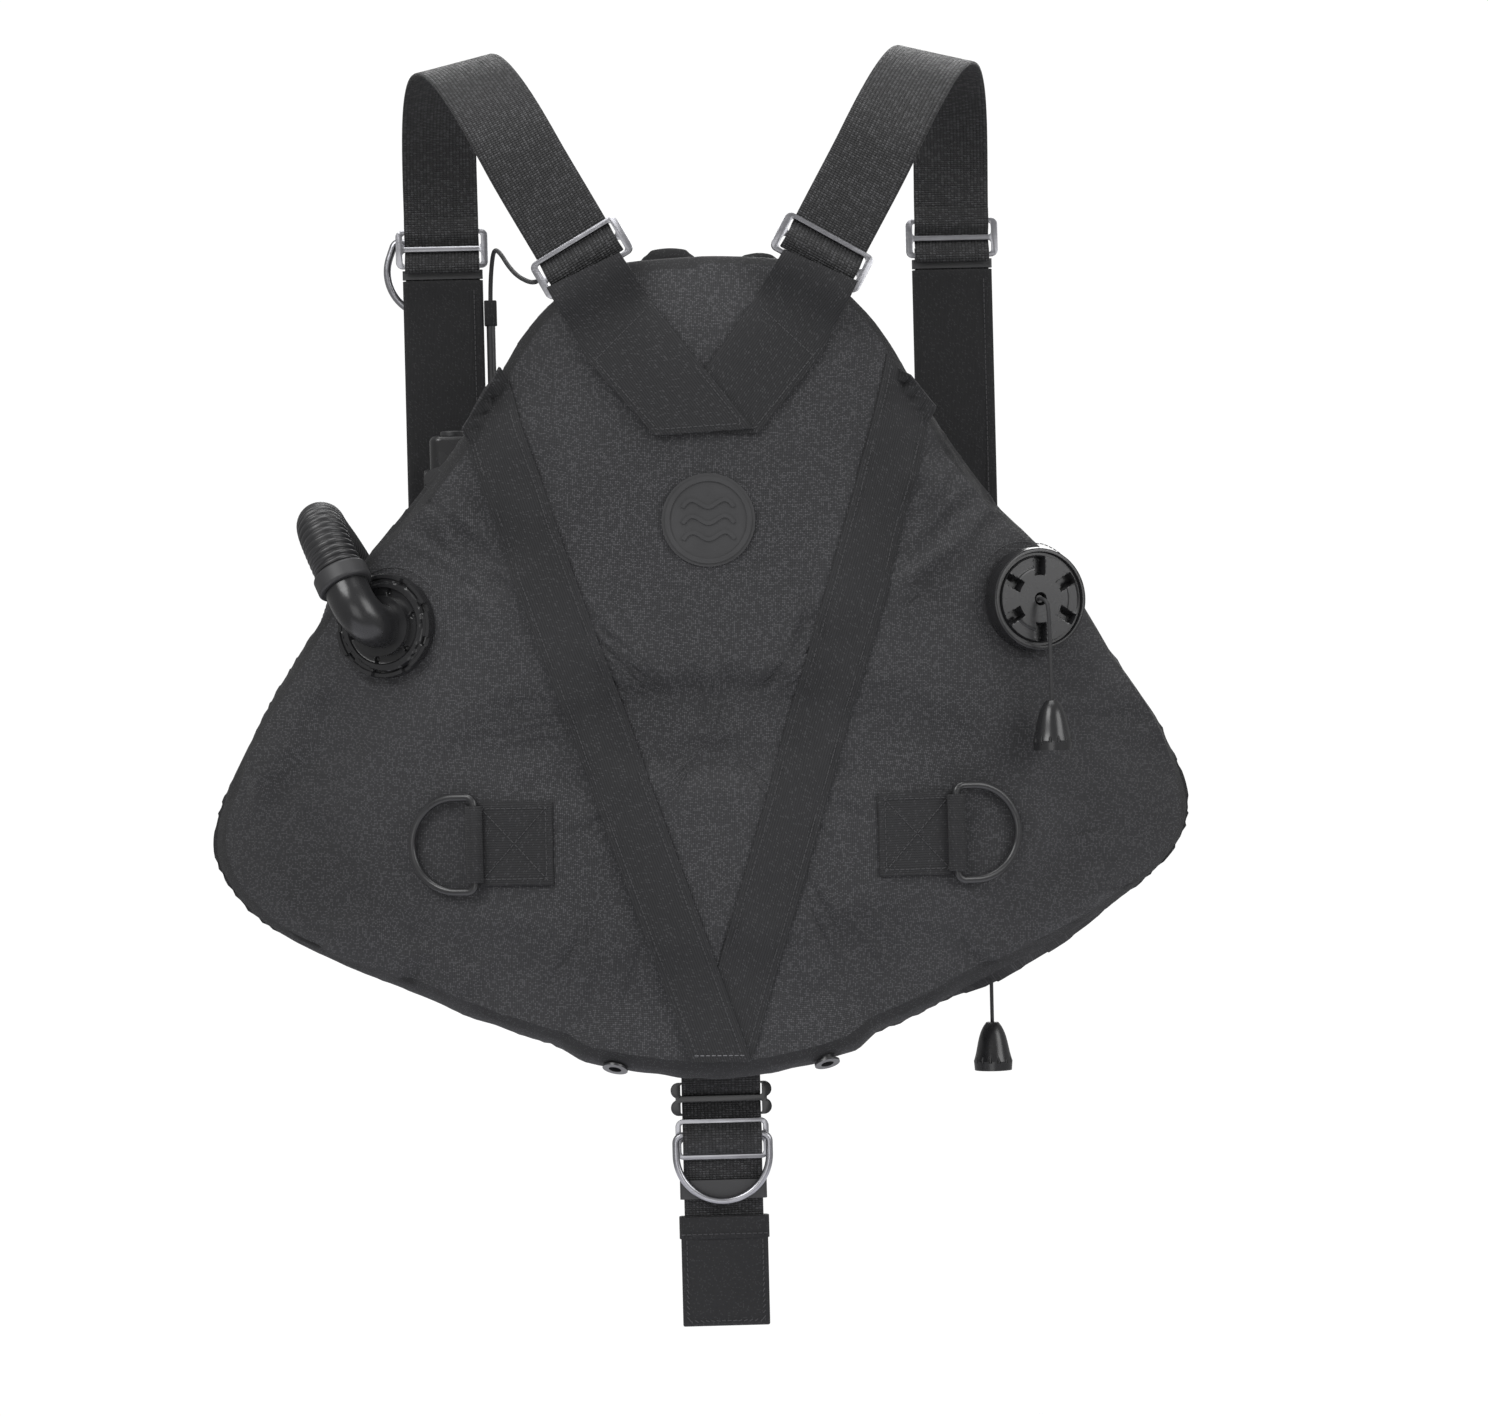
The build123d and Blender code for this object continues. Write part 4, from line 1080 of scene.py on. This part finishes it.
def softTube(name, side, c, material):
    # a sewn sleeve: flattened, fuller in the middle, its open ends turned in
    steps, levels = 72, 46
    verts, uvs = [], []
    height = c["sleeveTop"] - c["sleeveLow"]
    rows = [(1.0, 0.82, -14 * mm), (1.0, 0.9, 0.0)] + [(1 - k / levels, 1.0, 0.0) for k in range(levels + 1)]
    rows += [(0.0, 0.9, 0.0), (0.0, 0.82, 14 * mm)]
    for share, size, shift in rows:
        z = c["sleeveLow"] + height * share + shift
        full = 1 + 0.16 * math.sin(math.pi * share)
        for k in range(steps):
            angle = math.tau * k / steps
            cx, cy = math.cos(angle), math.sin(angle)
            x = math.copysign(abs(cx) ** 0.32, cx) * c["sleeveWidth"] / 2
            y = math.copysign(abs(cy) ** 0.75, cy) * c["sleeveThick"] / 2 * full
            fold = noise.noise(Vector((x * 60, cy * 2, z * 24 + side * 5))) * 1.1 * mm
            fold += noise.noise(Vector((x * 25 + side * 9, 4, z * 90))) * 0.5 * mm
            verts.append(Vector((side * c["x"] + x * size, c["y"] + (y + fold * cy) * size, z)))
            uvs.append((x + (c["sleeveWidth"] if cy > 0 else 0), z))
    piece = newPiece(name, verts, ringFaces(len(rows), steps), material, uvs)
    faceOutwards(piece)
    return piece


sleeve = dict(chest, x=shoulder["x"])
for name, side in sides.items():
    line, acrosses = flatRun([(side * shoulder["x"], chest["top"]), (side * shoulder["x"], chest["bend"]),
                              (side * chest["hipX"], chest["beltZ"] + 20 * mm)], chest["y"])
    strap = ribbon(f"frontWebbing{name.capitalize()}", line, acrosses, "webbingWeave", rounds=0)
    place(strap, "vest", "webbing", f"chest_strap_{name}")
    middle = Vector((side * chest["hipX"], chest["beltY"], chest["beltZ"]))
    hoop = []
    for k in range(25):
        angle = math.tau * k / 24
        up = math.copysign(abs(math.sin(angle)) ** 0.5, math.sin(angle))
        hoop.append(middle + Vector((0, math.cos(angle) * 3.3 * mm, up * 28 * mm)))
    loop = ribbon(f"beltLoop{name.capitalize()}", hoop, [Vector((1, 0, 0))] * len(hoop), "webbingWeave",
                  thick=1.8 * mm, rounds=1)
    place(loop, "vest", "webbing")
    tube = softTube(f"strapSleeve{name.capitalize()}", side, sleeve, "sleeveTwill")
    place(tube, "vest", "binding_fabric", f"chest_sleeve_{name}")
    front = chest["y"] - chest["sleeveThick"] / 2 - 0.9 * mm
    edgeX = side * shoulder["x"] + 21 * mm
    row = [Vector((edgeX, front, chest["sleeveLow"] + 4 * mm + k * 4 * mm)) for k in range(38)]
    stitchRows["seamThread"].append(row)
    belt = [(side * 3 * mm, chest["beltY"]), (side * 190 * mm, chest["beltY"]), (side * 190 * mm, -20 * mm),
            (side * 130 * mm, -52 * mm), (side * 80 * mm, -62.6 * mm)]
    beltRun = [Vector((x, y, chest["beltZ"])) for x, y in belt]
    webbing = ribbon(f"waistWebbing{name.capitalize()}", beltRun, [Vector((0, 0, 1))] * len(beltRun),
                     "webbingWeave", rounds=5)
    place(webbing, "vest", "webbing", f"waist_belt_{name}")
print("front straps, sleeves and belt made")

# ---- crotch strap, threaded through its two sliders, and the padded loop at its end

# the hump over the steel slider's middle bar stands as far out as that of the CAD strap
humpY = min(v.co.y for v in nodes["crotch_strap"].data.vertices) + webbingThick / 2
crotch = {"y": -68.9 * mm, "step": 2.9 * mm, "black": -664 * mm, "steel": -689 * mm, "hump": humpY}
crotchRun = [
    (crotch["y"], -556 * mm), (crotch["y"], -620 * mm), (crotch["y"], crotch["black"] + 10 * mm),
    (crotch["y"] + 2 * crotch["step"], crotch["black"] + 2.4 * mm),
    (crotch["y"] + 2 * crotch["step"], crotch["black"] - 2.4 * mm), (crotch["y"], crotch["black"] - 10 * mm),
    (crotch["y"], crotch["steel"] + 9.8 * mm), (crotch["hump"], crotch["steel"] + 7 * mm),
    (crotch["hump"], crotch["steel"] - 7 * mm), (crotch["y"], crotch["steel"] - 9.8 * mm),
    (crotch["y"], crotch["steel"] - 16 * mm), (crotch["y"], -750 * mm),
]
strapSpots = [Vector((0, y, z)) for y, z in crotchRun]
strap = ribbon("crotchWebbing", strapSpots, [Vector((1, 0, 0))] * len(crotchRun), "webbingWeave")
place(strap, "vest", "webbing", "crotch_strap")


def crotchLoop(top, low, width, depth, wall):
    # a strip folded into a flat loop: down the outside, round the bottom, and up the inside
    half = depth / 2 - wall / 2
    down = [(-half, top), (-half, top - 16 * mm), (-half, low + 10 * mm), (-half, low + wall)]
    run = down + [(0, low + wall / 2)] + [(-y, z) for y, z in reversed(down)]
    spots = [Vector((0, crotch["y"] + y, z)) for y, z in run]
    acrosses = [Vector((1, 0, 0))] * len(run)
    return ribbon("crotchLoopCloth", spots, acrosses, "padCloth", width=width, thick=wall)


loopTop, loopLow = -738 * mm, -808 * mm
loopCloth = crotchLoop(loopTop, loopLow, 55 * mm, 9 * mm, 2.0 * mm)
place(loopCloth, "vest", "binding_fabric", "crotch_end_loop")


def hemBand(name, z, width, depth, height, material):
    # a folded band round the top of the loop, a little wider than it
    verts, uvs = [], []
    steps = 64
    rows = [(-0.5, 0.93), (-0.46, 0.99), (-0.2, 1.0), (0.2, 1.0), (0.46, 0.99), (0.5, 0.93), (0.5, 0.7)]
    for share, size in rows:
        for k in range(steps):
            angle = math.tau * k / steps
            cx, cy = math.cos(angle), math.sin(angle)
            x = math.copysign(abs(cx) ** 0.3, cx) * width / 2 * (0.97 + 0.03 * size)
            y = math.copysign(abs(cy) ** 0.6, cy) * depth / 2 * size
            verts.append(Vector((x, crotch["y"] + y, z + share * height)))
            uvs.append((x + (width if cy > 0 else 0), share * height))
    piece = newPiece(name, verts, ringFaces(len(rows), steps), material, uvs)
    faceOutwards(piece)
    return piece


band = hemBand("crotchLoopHem", loopTop - 7 * mm, 57 * mm, 11 * mm, 14 * mm, "padCloth")
place(band, "vest", "binding_fabric")
faceY = crotch["y"] - 5.7 * mm
stitchRows["seamThread"].append([Vector((x * mm, faceY, loopTop - 11 * mm)) for x in range(-26, 27, 4)])
edgeX, edgeY = 24 * mm, faceY + 1.1 * mm
edgeTop, edgeLow = loopTop - 16 * mm, loopLow + 4 * mm
corners = [(-edgeX, edgeTop), (-edgeX, edgeLow), (edgeX, edgeLow), (edgeX, edgeTop)]
stitchRows["seamThread"].append([Vector((x, edgeY, z)) for x, z in corners])
print("crotch strap threaded")

# ---- padding inside: collar lobes and back pad

padSettings = {
    "collarLobeLeft": {"node": "collar_lobe_left", "middle": (-23, -160), "half": (34, 39), "thick": 15.5},
    "collarLobeRight": {"node": "collar_lobe_right", "middle": (41, -163), "half": (30, 38), "thick": 15.5},
    "backPadCushion": {"node": "back_pad", "middle": (0, -328.5), "half": (46, 113.5), "thick": 13.5,
                       "start": 4.3},
}


def cushion(name, p):
    # a crowned pad lying on the lining, swelled by its foam
    steps, rows = 64, 14
    middle = Vector(p["middle"]) * mm
    start = p.get("start", 0.4) * mm
    power = 0.55 if "start" in p else 1.0
    verts, uvs = [], []
    for r in range(1, rows):
        lean = math.pi * r / rows
        for k in range(steps):
            angle = math.tau * k / steps
            cx, cz = math.cos(angle), math.sin(angle)
            size = math.sin(lean) ** 0.6
            x = middle.x + math.copysign(abs(cx) ** power, cx) * p["half"][0] * mm * size * 0.97
            z = middle.y + math.copysign(abs(cz) ** power, cz) * p["half"][1] * mm * size * 0.97
            depth = start + p["thick"] * mm * (0.5 - 0.5 * math.cos(lean)) * 0.92
            verts.append(onWrap(x, z, innerR - depth))
            uvs.append((x, z))
    piece = newPiece(name, verts, ringFaces(rows - 1, steps), "padCloth", uvs)
    faceOutwards(piece)
    remesh = piece.modifiers.new("even", "REMESH")
    remesh.mode = "VOXEL"
    remesh.voxel_size = 4.5 * mm
    baked(piece)
    inflate(piece, 4.0, 1.2 * mm, frames=14)
    finer = piece.modifiers.new("finer", "SUBSURF")
    finer.levels = finer.render_levels = 1
    baked(piece)
    layers = piece.data.uv_layers
    layer = layers[0] if layers else layers.new(name="flatCloth")
    for loop in piece.data.loops:
        spot = piece.data.vertices[loop.vertex_index].co
        layer.data[loop.index].uv = (spot.x, spot.z)
    smoothed(piece.data)
    if not piece.data.materials:
        piece.data.materials.append(materials["padCloth"])
    place(piece, "vest", "binding_fabric", p["node"])


for name, p in padSettings.items():
    cushion(name, p)
print("pads swelled")

# ---- hose and cords, on the routes of the CAD model


def routeCurve(name, points, bevel=0.0):
    curve = bpy.data.curves.new(name, "CURVE")
    curve.dimensions = "3D"
    spline = curve.splines.new("NURBS")
    spline.points.add(len(points) - 1)
    for target, spot in zip(spline.points, points):
        target.co = (*[c * mm for c in spot], 1)
    spline.order_u = 3
    spline.use_endpoint_u = True
    spline.resolution_u = 12
    curve.bevel_depth = bevel
    curve.bevel_resolution = 5
    curve.use_fill_caps = True
    piece = bpy.data.objects.new(name, curve)
    scene.collection.objects.link(piece)
    return piece


def curvePoints(piece):
    line = evaluated(piece)
    spots = [v.co.copy() for v in line.vertices]
    bpy.data.meshes.remove(line)
    return spots


hoseRoute = [
    (-231.1, -102.4, -325.8), (-240.5, -93.5, -304.7), (-244.5, -72, -294), (-244, -45, -298),
    (-237, -14, -310), (-228, 18, -328), (-240, 42, -360), (-260, 54, -398), (-258, 58, -434),
    (-230, 59, -457), (-194, 60, -449), (-171, 61, -414), (-166, 62, -374), (-166, 62, -335),
]
cordRoutes = {
    "dump_cord": [(207.6, -96.8, -353), (210.3, -103.3, -353), (212.1, -107.9, -362), (212.1, -107.9, -417)],
    "lower_cord": [(181.9, -25.5, -556), (179.2, -19.1, -556), (177.3, -14.4, -565), (177.3, -14.4, -624)],
    "bungee_cord": [
        (-140.4, 109, -145.8), (-140.2, 108.6, -130), (-138.6, 101, -114), (-136, 82, -106),
        (-131, 52, -112), (-125, 20, -124), (-118.5, -14, -134), (-112, -48, -141),
        (-106.5, -82, -146), (-103.5, -112, -148.5),
    ],
}
hose = {"diameter": 31 * mm, "ribPitch": 4.0 * mm, "ribDepth": 1.9 * mm, "step": 0.5 * mm}


def ribbedHoseTree():
    # sweeps a circle along the route, its radius rising and falling once for each rib
    sizes = {"Radius": 15.5 * mm, "Rib Pitch": 4 * mm, "Rib Depth": 2 * mm, "Step": 0.5 * mm}
    sheet, given, out = newNodes("ribbedHose", sizes, "Rubber")
    even = sheet.add("GeometryNodeResampleCurve", mode="LENGTH")
    sheet.link(given["Geometry"], even.inputs["Curve"])
    sheet.link(given["Step"], even.inputs["Length"])
    along = sheet.add("GeometryNodeSplineParameter")
    turns = sheet.math("MULTIPLY", sheet.math("DIVIDE", along.outputs["Length"], given["Rib Pitch"]), math.pi)
    crest = sheet.math("POWER", sheet.math("ABSOLUTE", sheet.math("SINE", turns)), 0.7)
    low = sheet.math("SUBTRACT", given["Radius"], given["Rib Depth"])
    size = sheet.math("ADD", low, sheet.math("MULTIPLY", crest, given["Rib Depth"]))
    shape = sheet.add("GeometryNodeCurvePrimitiveCircle")
    shape.inputs["Resolution"].default_value = 40
    shape.inputs["Radius"].default_value = 1.0
    sweep = sheet.add("GeometryNodeCurveToMesh")
    sheet.link(even.outputs["Curve"], sweep.inputs["Curve"])
    sheet.link(shape.outputs["Curve"], sweep.inputs["Profile Curve"])
    sweep.inputs["Fill Caps"].default_value = True
    sheet.link(size, sweep.inputs["Scale"])
    return finishNodes(sheet, sweep.outputs["Mesh"], given["Rubber"], out)


def makeHose(h):
    route = routeCurve("inflatorHose", hoseRoute)
    spots = curvePoints(route)
    made = applyNodes(route, ribbedHoseTree(), Radius=h["diameter"] / 2, Rubber=materials["hoseRubber"],
                      **{"Rib Pitch": h["ribPitch"], "Rib Depth": h["ribDepth"], "Step": h["step"]})
    made.name = "inflatorHose"
    faceOutwards(made)
    smoothed(made.data)
    place(made, "vest", "hose_rubber", "corrugated_hose")


def makeCord(name, node, body, diameter):
    cord = routeCurve(name, cordRoutes[node], diameter / 2)
    cord.data.materials.append(materials["cordBraid"])
    place(cord, body, "shock_cord", node)
    bare = routeCurve("bareRoute", cordRoutes[node])
    spots = curvePoints(bare)
    bpy.data.objects.remove(bare)


makeHose(hose)
makeCord("dumpPullCord", "dump_cord", "dump_pull", 2.4 * mm)
makeCord("lowerPullCord", "lower_cord", "lower_pull", 2.4 * mm)
makeCord("bungeeShockCord", "bungee_cord", "vest", 3 * mm)
print("hose and cords laid")

# ---- valve faces: round mouldings whose relief is a height over the radius and the angle


def relief(name, middle, out, radius, heights, material="glossPlastic", rings=46, spokes=252):
    # a round face on a flat foot; heights gives its height in mm
    up = Vector((0, 0, 1))
    across = up.cross(out).normalized()
    up = out.cross(across)
    verts, faces = [middle + out * heights(0, 0) * mm], []
    for r in range(1, rings + 1):
        reach = radius * r / rings
        for k in range(spokes):
            angle = math.tau * k / spokes
            height = heights(reach / mm, angle) * mm
            verts.append(middle + (across * math.cos(angle) + up * math.sin(angle)) * reach + out * height)
    for k in range(spokes):
        angle = math.tau * k / spokes
        verts.append(middle + (across * math.cos(angle) + up * math.sin(angle)) * radius)
    verts.append(middle)
    faces += [(0, 1 + k, 1 + (k + 1) % spokes) for k in range(spokes)]
    for r in range(rings):
        for k in range(spokes):
            n = (k + 1) % spokes
            a, b = 1 + r * spokes + k, 1 + r * spokes + n
            faces.append((a, a + spokes, b + spokes, b))
    last = 1 + rings * spokes
    faces += [(last + (k + 1) % spokes, last + k, len(verts) - 1) for k in range(spokes)]
    piece = newPiece(name, verts, faces, material, smooth=False)
    faceOutwards(piece)
    edges = piece.modifiers.new("creases", "EDGE_SPLIT")
    edges.split_angle = math.radians(40)
    smoothed(piece.data)
    return baked(piece)


def step(value, low, high):
    share = max(0.0, min(1.0, (value - low) / (high - low)))
    return share * share * (3 - 2 * share)


def flangeHeight(r, angle):
    # recess for the elbow, a drilled ring, raised arcs, and a notched rim
    height = 5.6
    if r < 24:
        spot = Vector((math.cos(angle), math.sin(angle))) * r
        turns = [math.tau * k / 6 + 0.3 for k in range(6)]
        hole = min((spot - Vector((math.cos(a), math.sin(a))) * 21.5).length for a in turns)
        height -= 2.2 * (1 - step(hole, 1.3, 1.9))
    arc = 0.5 + 0.5 * math.cos(angle * 3 + 0.7)
    height += 1.5 * step(r, 23.5, 24.2) * (1 - step(r, 28.6 - 2.5 * arc, 29.2 - 2.5 * arc))
    notch = abs(((angle * 9 / math.tau) % 1) - 0.5) * math.tau / 9 * r
    height += 1.2 * step(r, 29.4, 29.9) - 3.0 * step(r, 28.2, 28.8) * (1 - step(notch, 2.4, 3.0))
    return height - 3.5 * step(r, 32.2, 33.0) ** 2


def capHeight(r, angle, radius):
    # a rim, six notches between the arms of a star, three shallow scallops, and a guide hole
    height = 12.6
    height -= 6.5 * step(r, radius - 5.6, radius - 5.2) * (1 - step(r, radius - 3.4, radius - 3.0)) * 0.35
    sector = abs(((angle * 6 / math.tau) % 1) - 0.5) * math.tau / 6 * r
    armSpan = step(r, radius - 17.5, radius - 16.5) * (1 - step(r, radius - 6.4, radius - 5.8))
    height -= 7.0 * (1 - step(sector, 3.0, 3.7)) * armSpan
    scallop = 0.5 + 0.5 * math.cos(angle * 3)
    scallopSpan = step(r, radius - 13, radius - 12) * (1 - step(r, radius - 6, radius - 5.6))
    height -= 1.1 * step(scallop, 0.55, 0.75) * scallopSpan
    height -= 8.0 * (1 - step(r, 3.2, 3.9))
    return height - 4.0 * step(r, radius - 1.2, radius) ** 2


dumpR, lowerR = 32.6, 27.6
dumpShape = functools.partial(capHeight, radius=dumpR)
lowerShape = functools.partial(capHeight, radius=lowerR)
# name, place in X and Z, radius, shape and the CAD piece, all in mm
outerValves = [
    ("inflatorFlangeFace", (-203, -360), 33, flangeHeight, "inflator_flange"),
    ("dumpValveFace", (203, -353), dumpR, dumpShape, "dump_valve_body"),
]
for name, (x, z), radius, shape, node in outerValves:
    x, z = x * mm, z * mm
    face = relief(name, onWrap(x, z, wrapR + 0.2 * mm), wrapNormal(x), radius * mm, shape)
    place(face, "vest", "black_plastic", node)
    ringRow = []
    for k in range(61):
        angle = math.tau * k / 60
        ringRow.append(onCloth(x + 37 * mm * math.cos(angle), z + 37 * mm * math.sin(angle), 0.3 * mm)[0])
    stitchRows["seamThread"].append(ringRow)
# the lower valve looks the other way, through the lining
lowTurn = math.asin(187 * mm / innerR)
lowOut = Vector((-math.sin(lowTurn), math.cos(lowTurn), 0))
lowMiddle = Vector((0, wrapY, -556 * mm)) - lowOut * (innerR - 1.1 * mm)
lowFace = relief("lowerValveFace", lowMiddle, lowOut, lowerR * mm, lowerShape)
place(lowFace, "vest", "black_plastic", "lower_valve_body")
print("valves moulded")

# ---- hard pieces kept from the CAD model: broken edges where they show, and their finishes

finishes = {
    "satinSteel": ["crotch_d_ring", "chest_d_ring"],
    "glossPlastic": ["elbow", "dump_knob", "lower_knob"],
    "blackWire": ["back_d_ring_left", "back_d_ring_right", "eyelets"],
    "satinRubber": ["hose_cuff", "strap_keepers", "crotch_keeper", "badge_patch"],
    "hoseRubber": ["bungee_tube"],
    "buttonPlastic": ["dump_poppet", "lower_poppet", "inflate_button", "deflate_button"],
    "softRubber": ["mouthpiece"],
    "zipMetal": ["zip_slider"],
}
softEdges = {
    "back_buckles": ("satinSteel", "satin_steel", "vest", 0.8),
    "chest_buckles": ("satinSteel", "satin_steel", "vest", 0.8),
    "crotch_slider_steel": ("satinSteel", "satin_steel", "vest", 0.7),
    "crotch_slider_black": ("glossPlastic", "black_plastic", "vest", 0.7),
    "waist_buckle_frame": ("satinSteel", "satin_steel", "vest", 0.4),
    "waist_buckle_lever": ("satinSteel", "satin_steel", "waist_lever", 0.4),
    "inflator_body": ("glossPlastic", "black_plastic", "vest", 0.6),
}
for material, names in finishes.items():
    for node in names:
        nodes[node].data.materials.clear()
        nodes[node].data.materials.append(materials[material])
for node, (material, slotName, body, width) in softEdges.items():
    place(softened(node, material, width * mm), body, slotName, node)
# small sewn pieces: the copy gets its own map of the cloth, flat to each face and in metres
sewnCopies = {
    "tube_keeper": ("sleeveTwill", "sleeve_fabric", 0.5),
    "chest_ring_loop": ("webbingWeave", "webbing", 0.5),
    "back_plate": ("plateCloth", "stiff_fabric", 1.2),
    "zip_tape": ("gussetCloth", "binding_fabric", 0.4),
}
for node, (material, slotName, width) in sewnCopies.items():
    piece = softened(node, material, width * mm)
    layer = piece.data.uv_layers.get("flatCloth") or piece.data.uv_layers.new(name="flatCloth")
    for polygon in piece.data.polygons:
        flat = max(range(3), key=lambda axis: abs(polygon.normal[axis]))
        across, along = [(1, 2), (0, 2), (0, 1)][flat]
        for loop in polygon.loop_indices:
            spot = piece.data.vertices[piece.data.loops[loop].vertex_index].co
            layer.data[loop].uv = (spot[across], spot[along])
    place(piece, "vest", slotName, node)
zipLow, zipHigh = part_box("zip_tape")
zipMiddle = (zipLow + zipHigh) / 2
zipSpan = zipHigh.z - zipLow.z
zipRow = [(zipMiddle.x, zipHigh.y + 0.2 * mm, zipLow.z + zipSpan * (0.04 + 0.92 * k / 20)) for k in range(21)]
sewRows([zipRow], "zipCoil", "softRubber", Pitch=1.5 * mm, Length=0.9 * mm, Thickness=3.4 * mm)
print("hard pieces finished")

splitShell(wingShell)
for thread, rows in stitchRows.items():
    sewRows(rows, thread + "Stitches", thread)
print("stitches sewn")
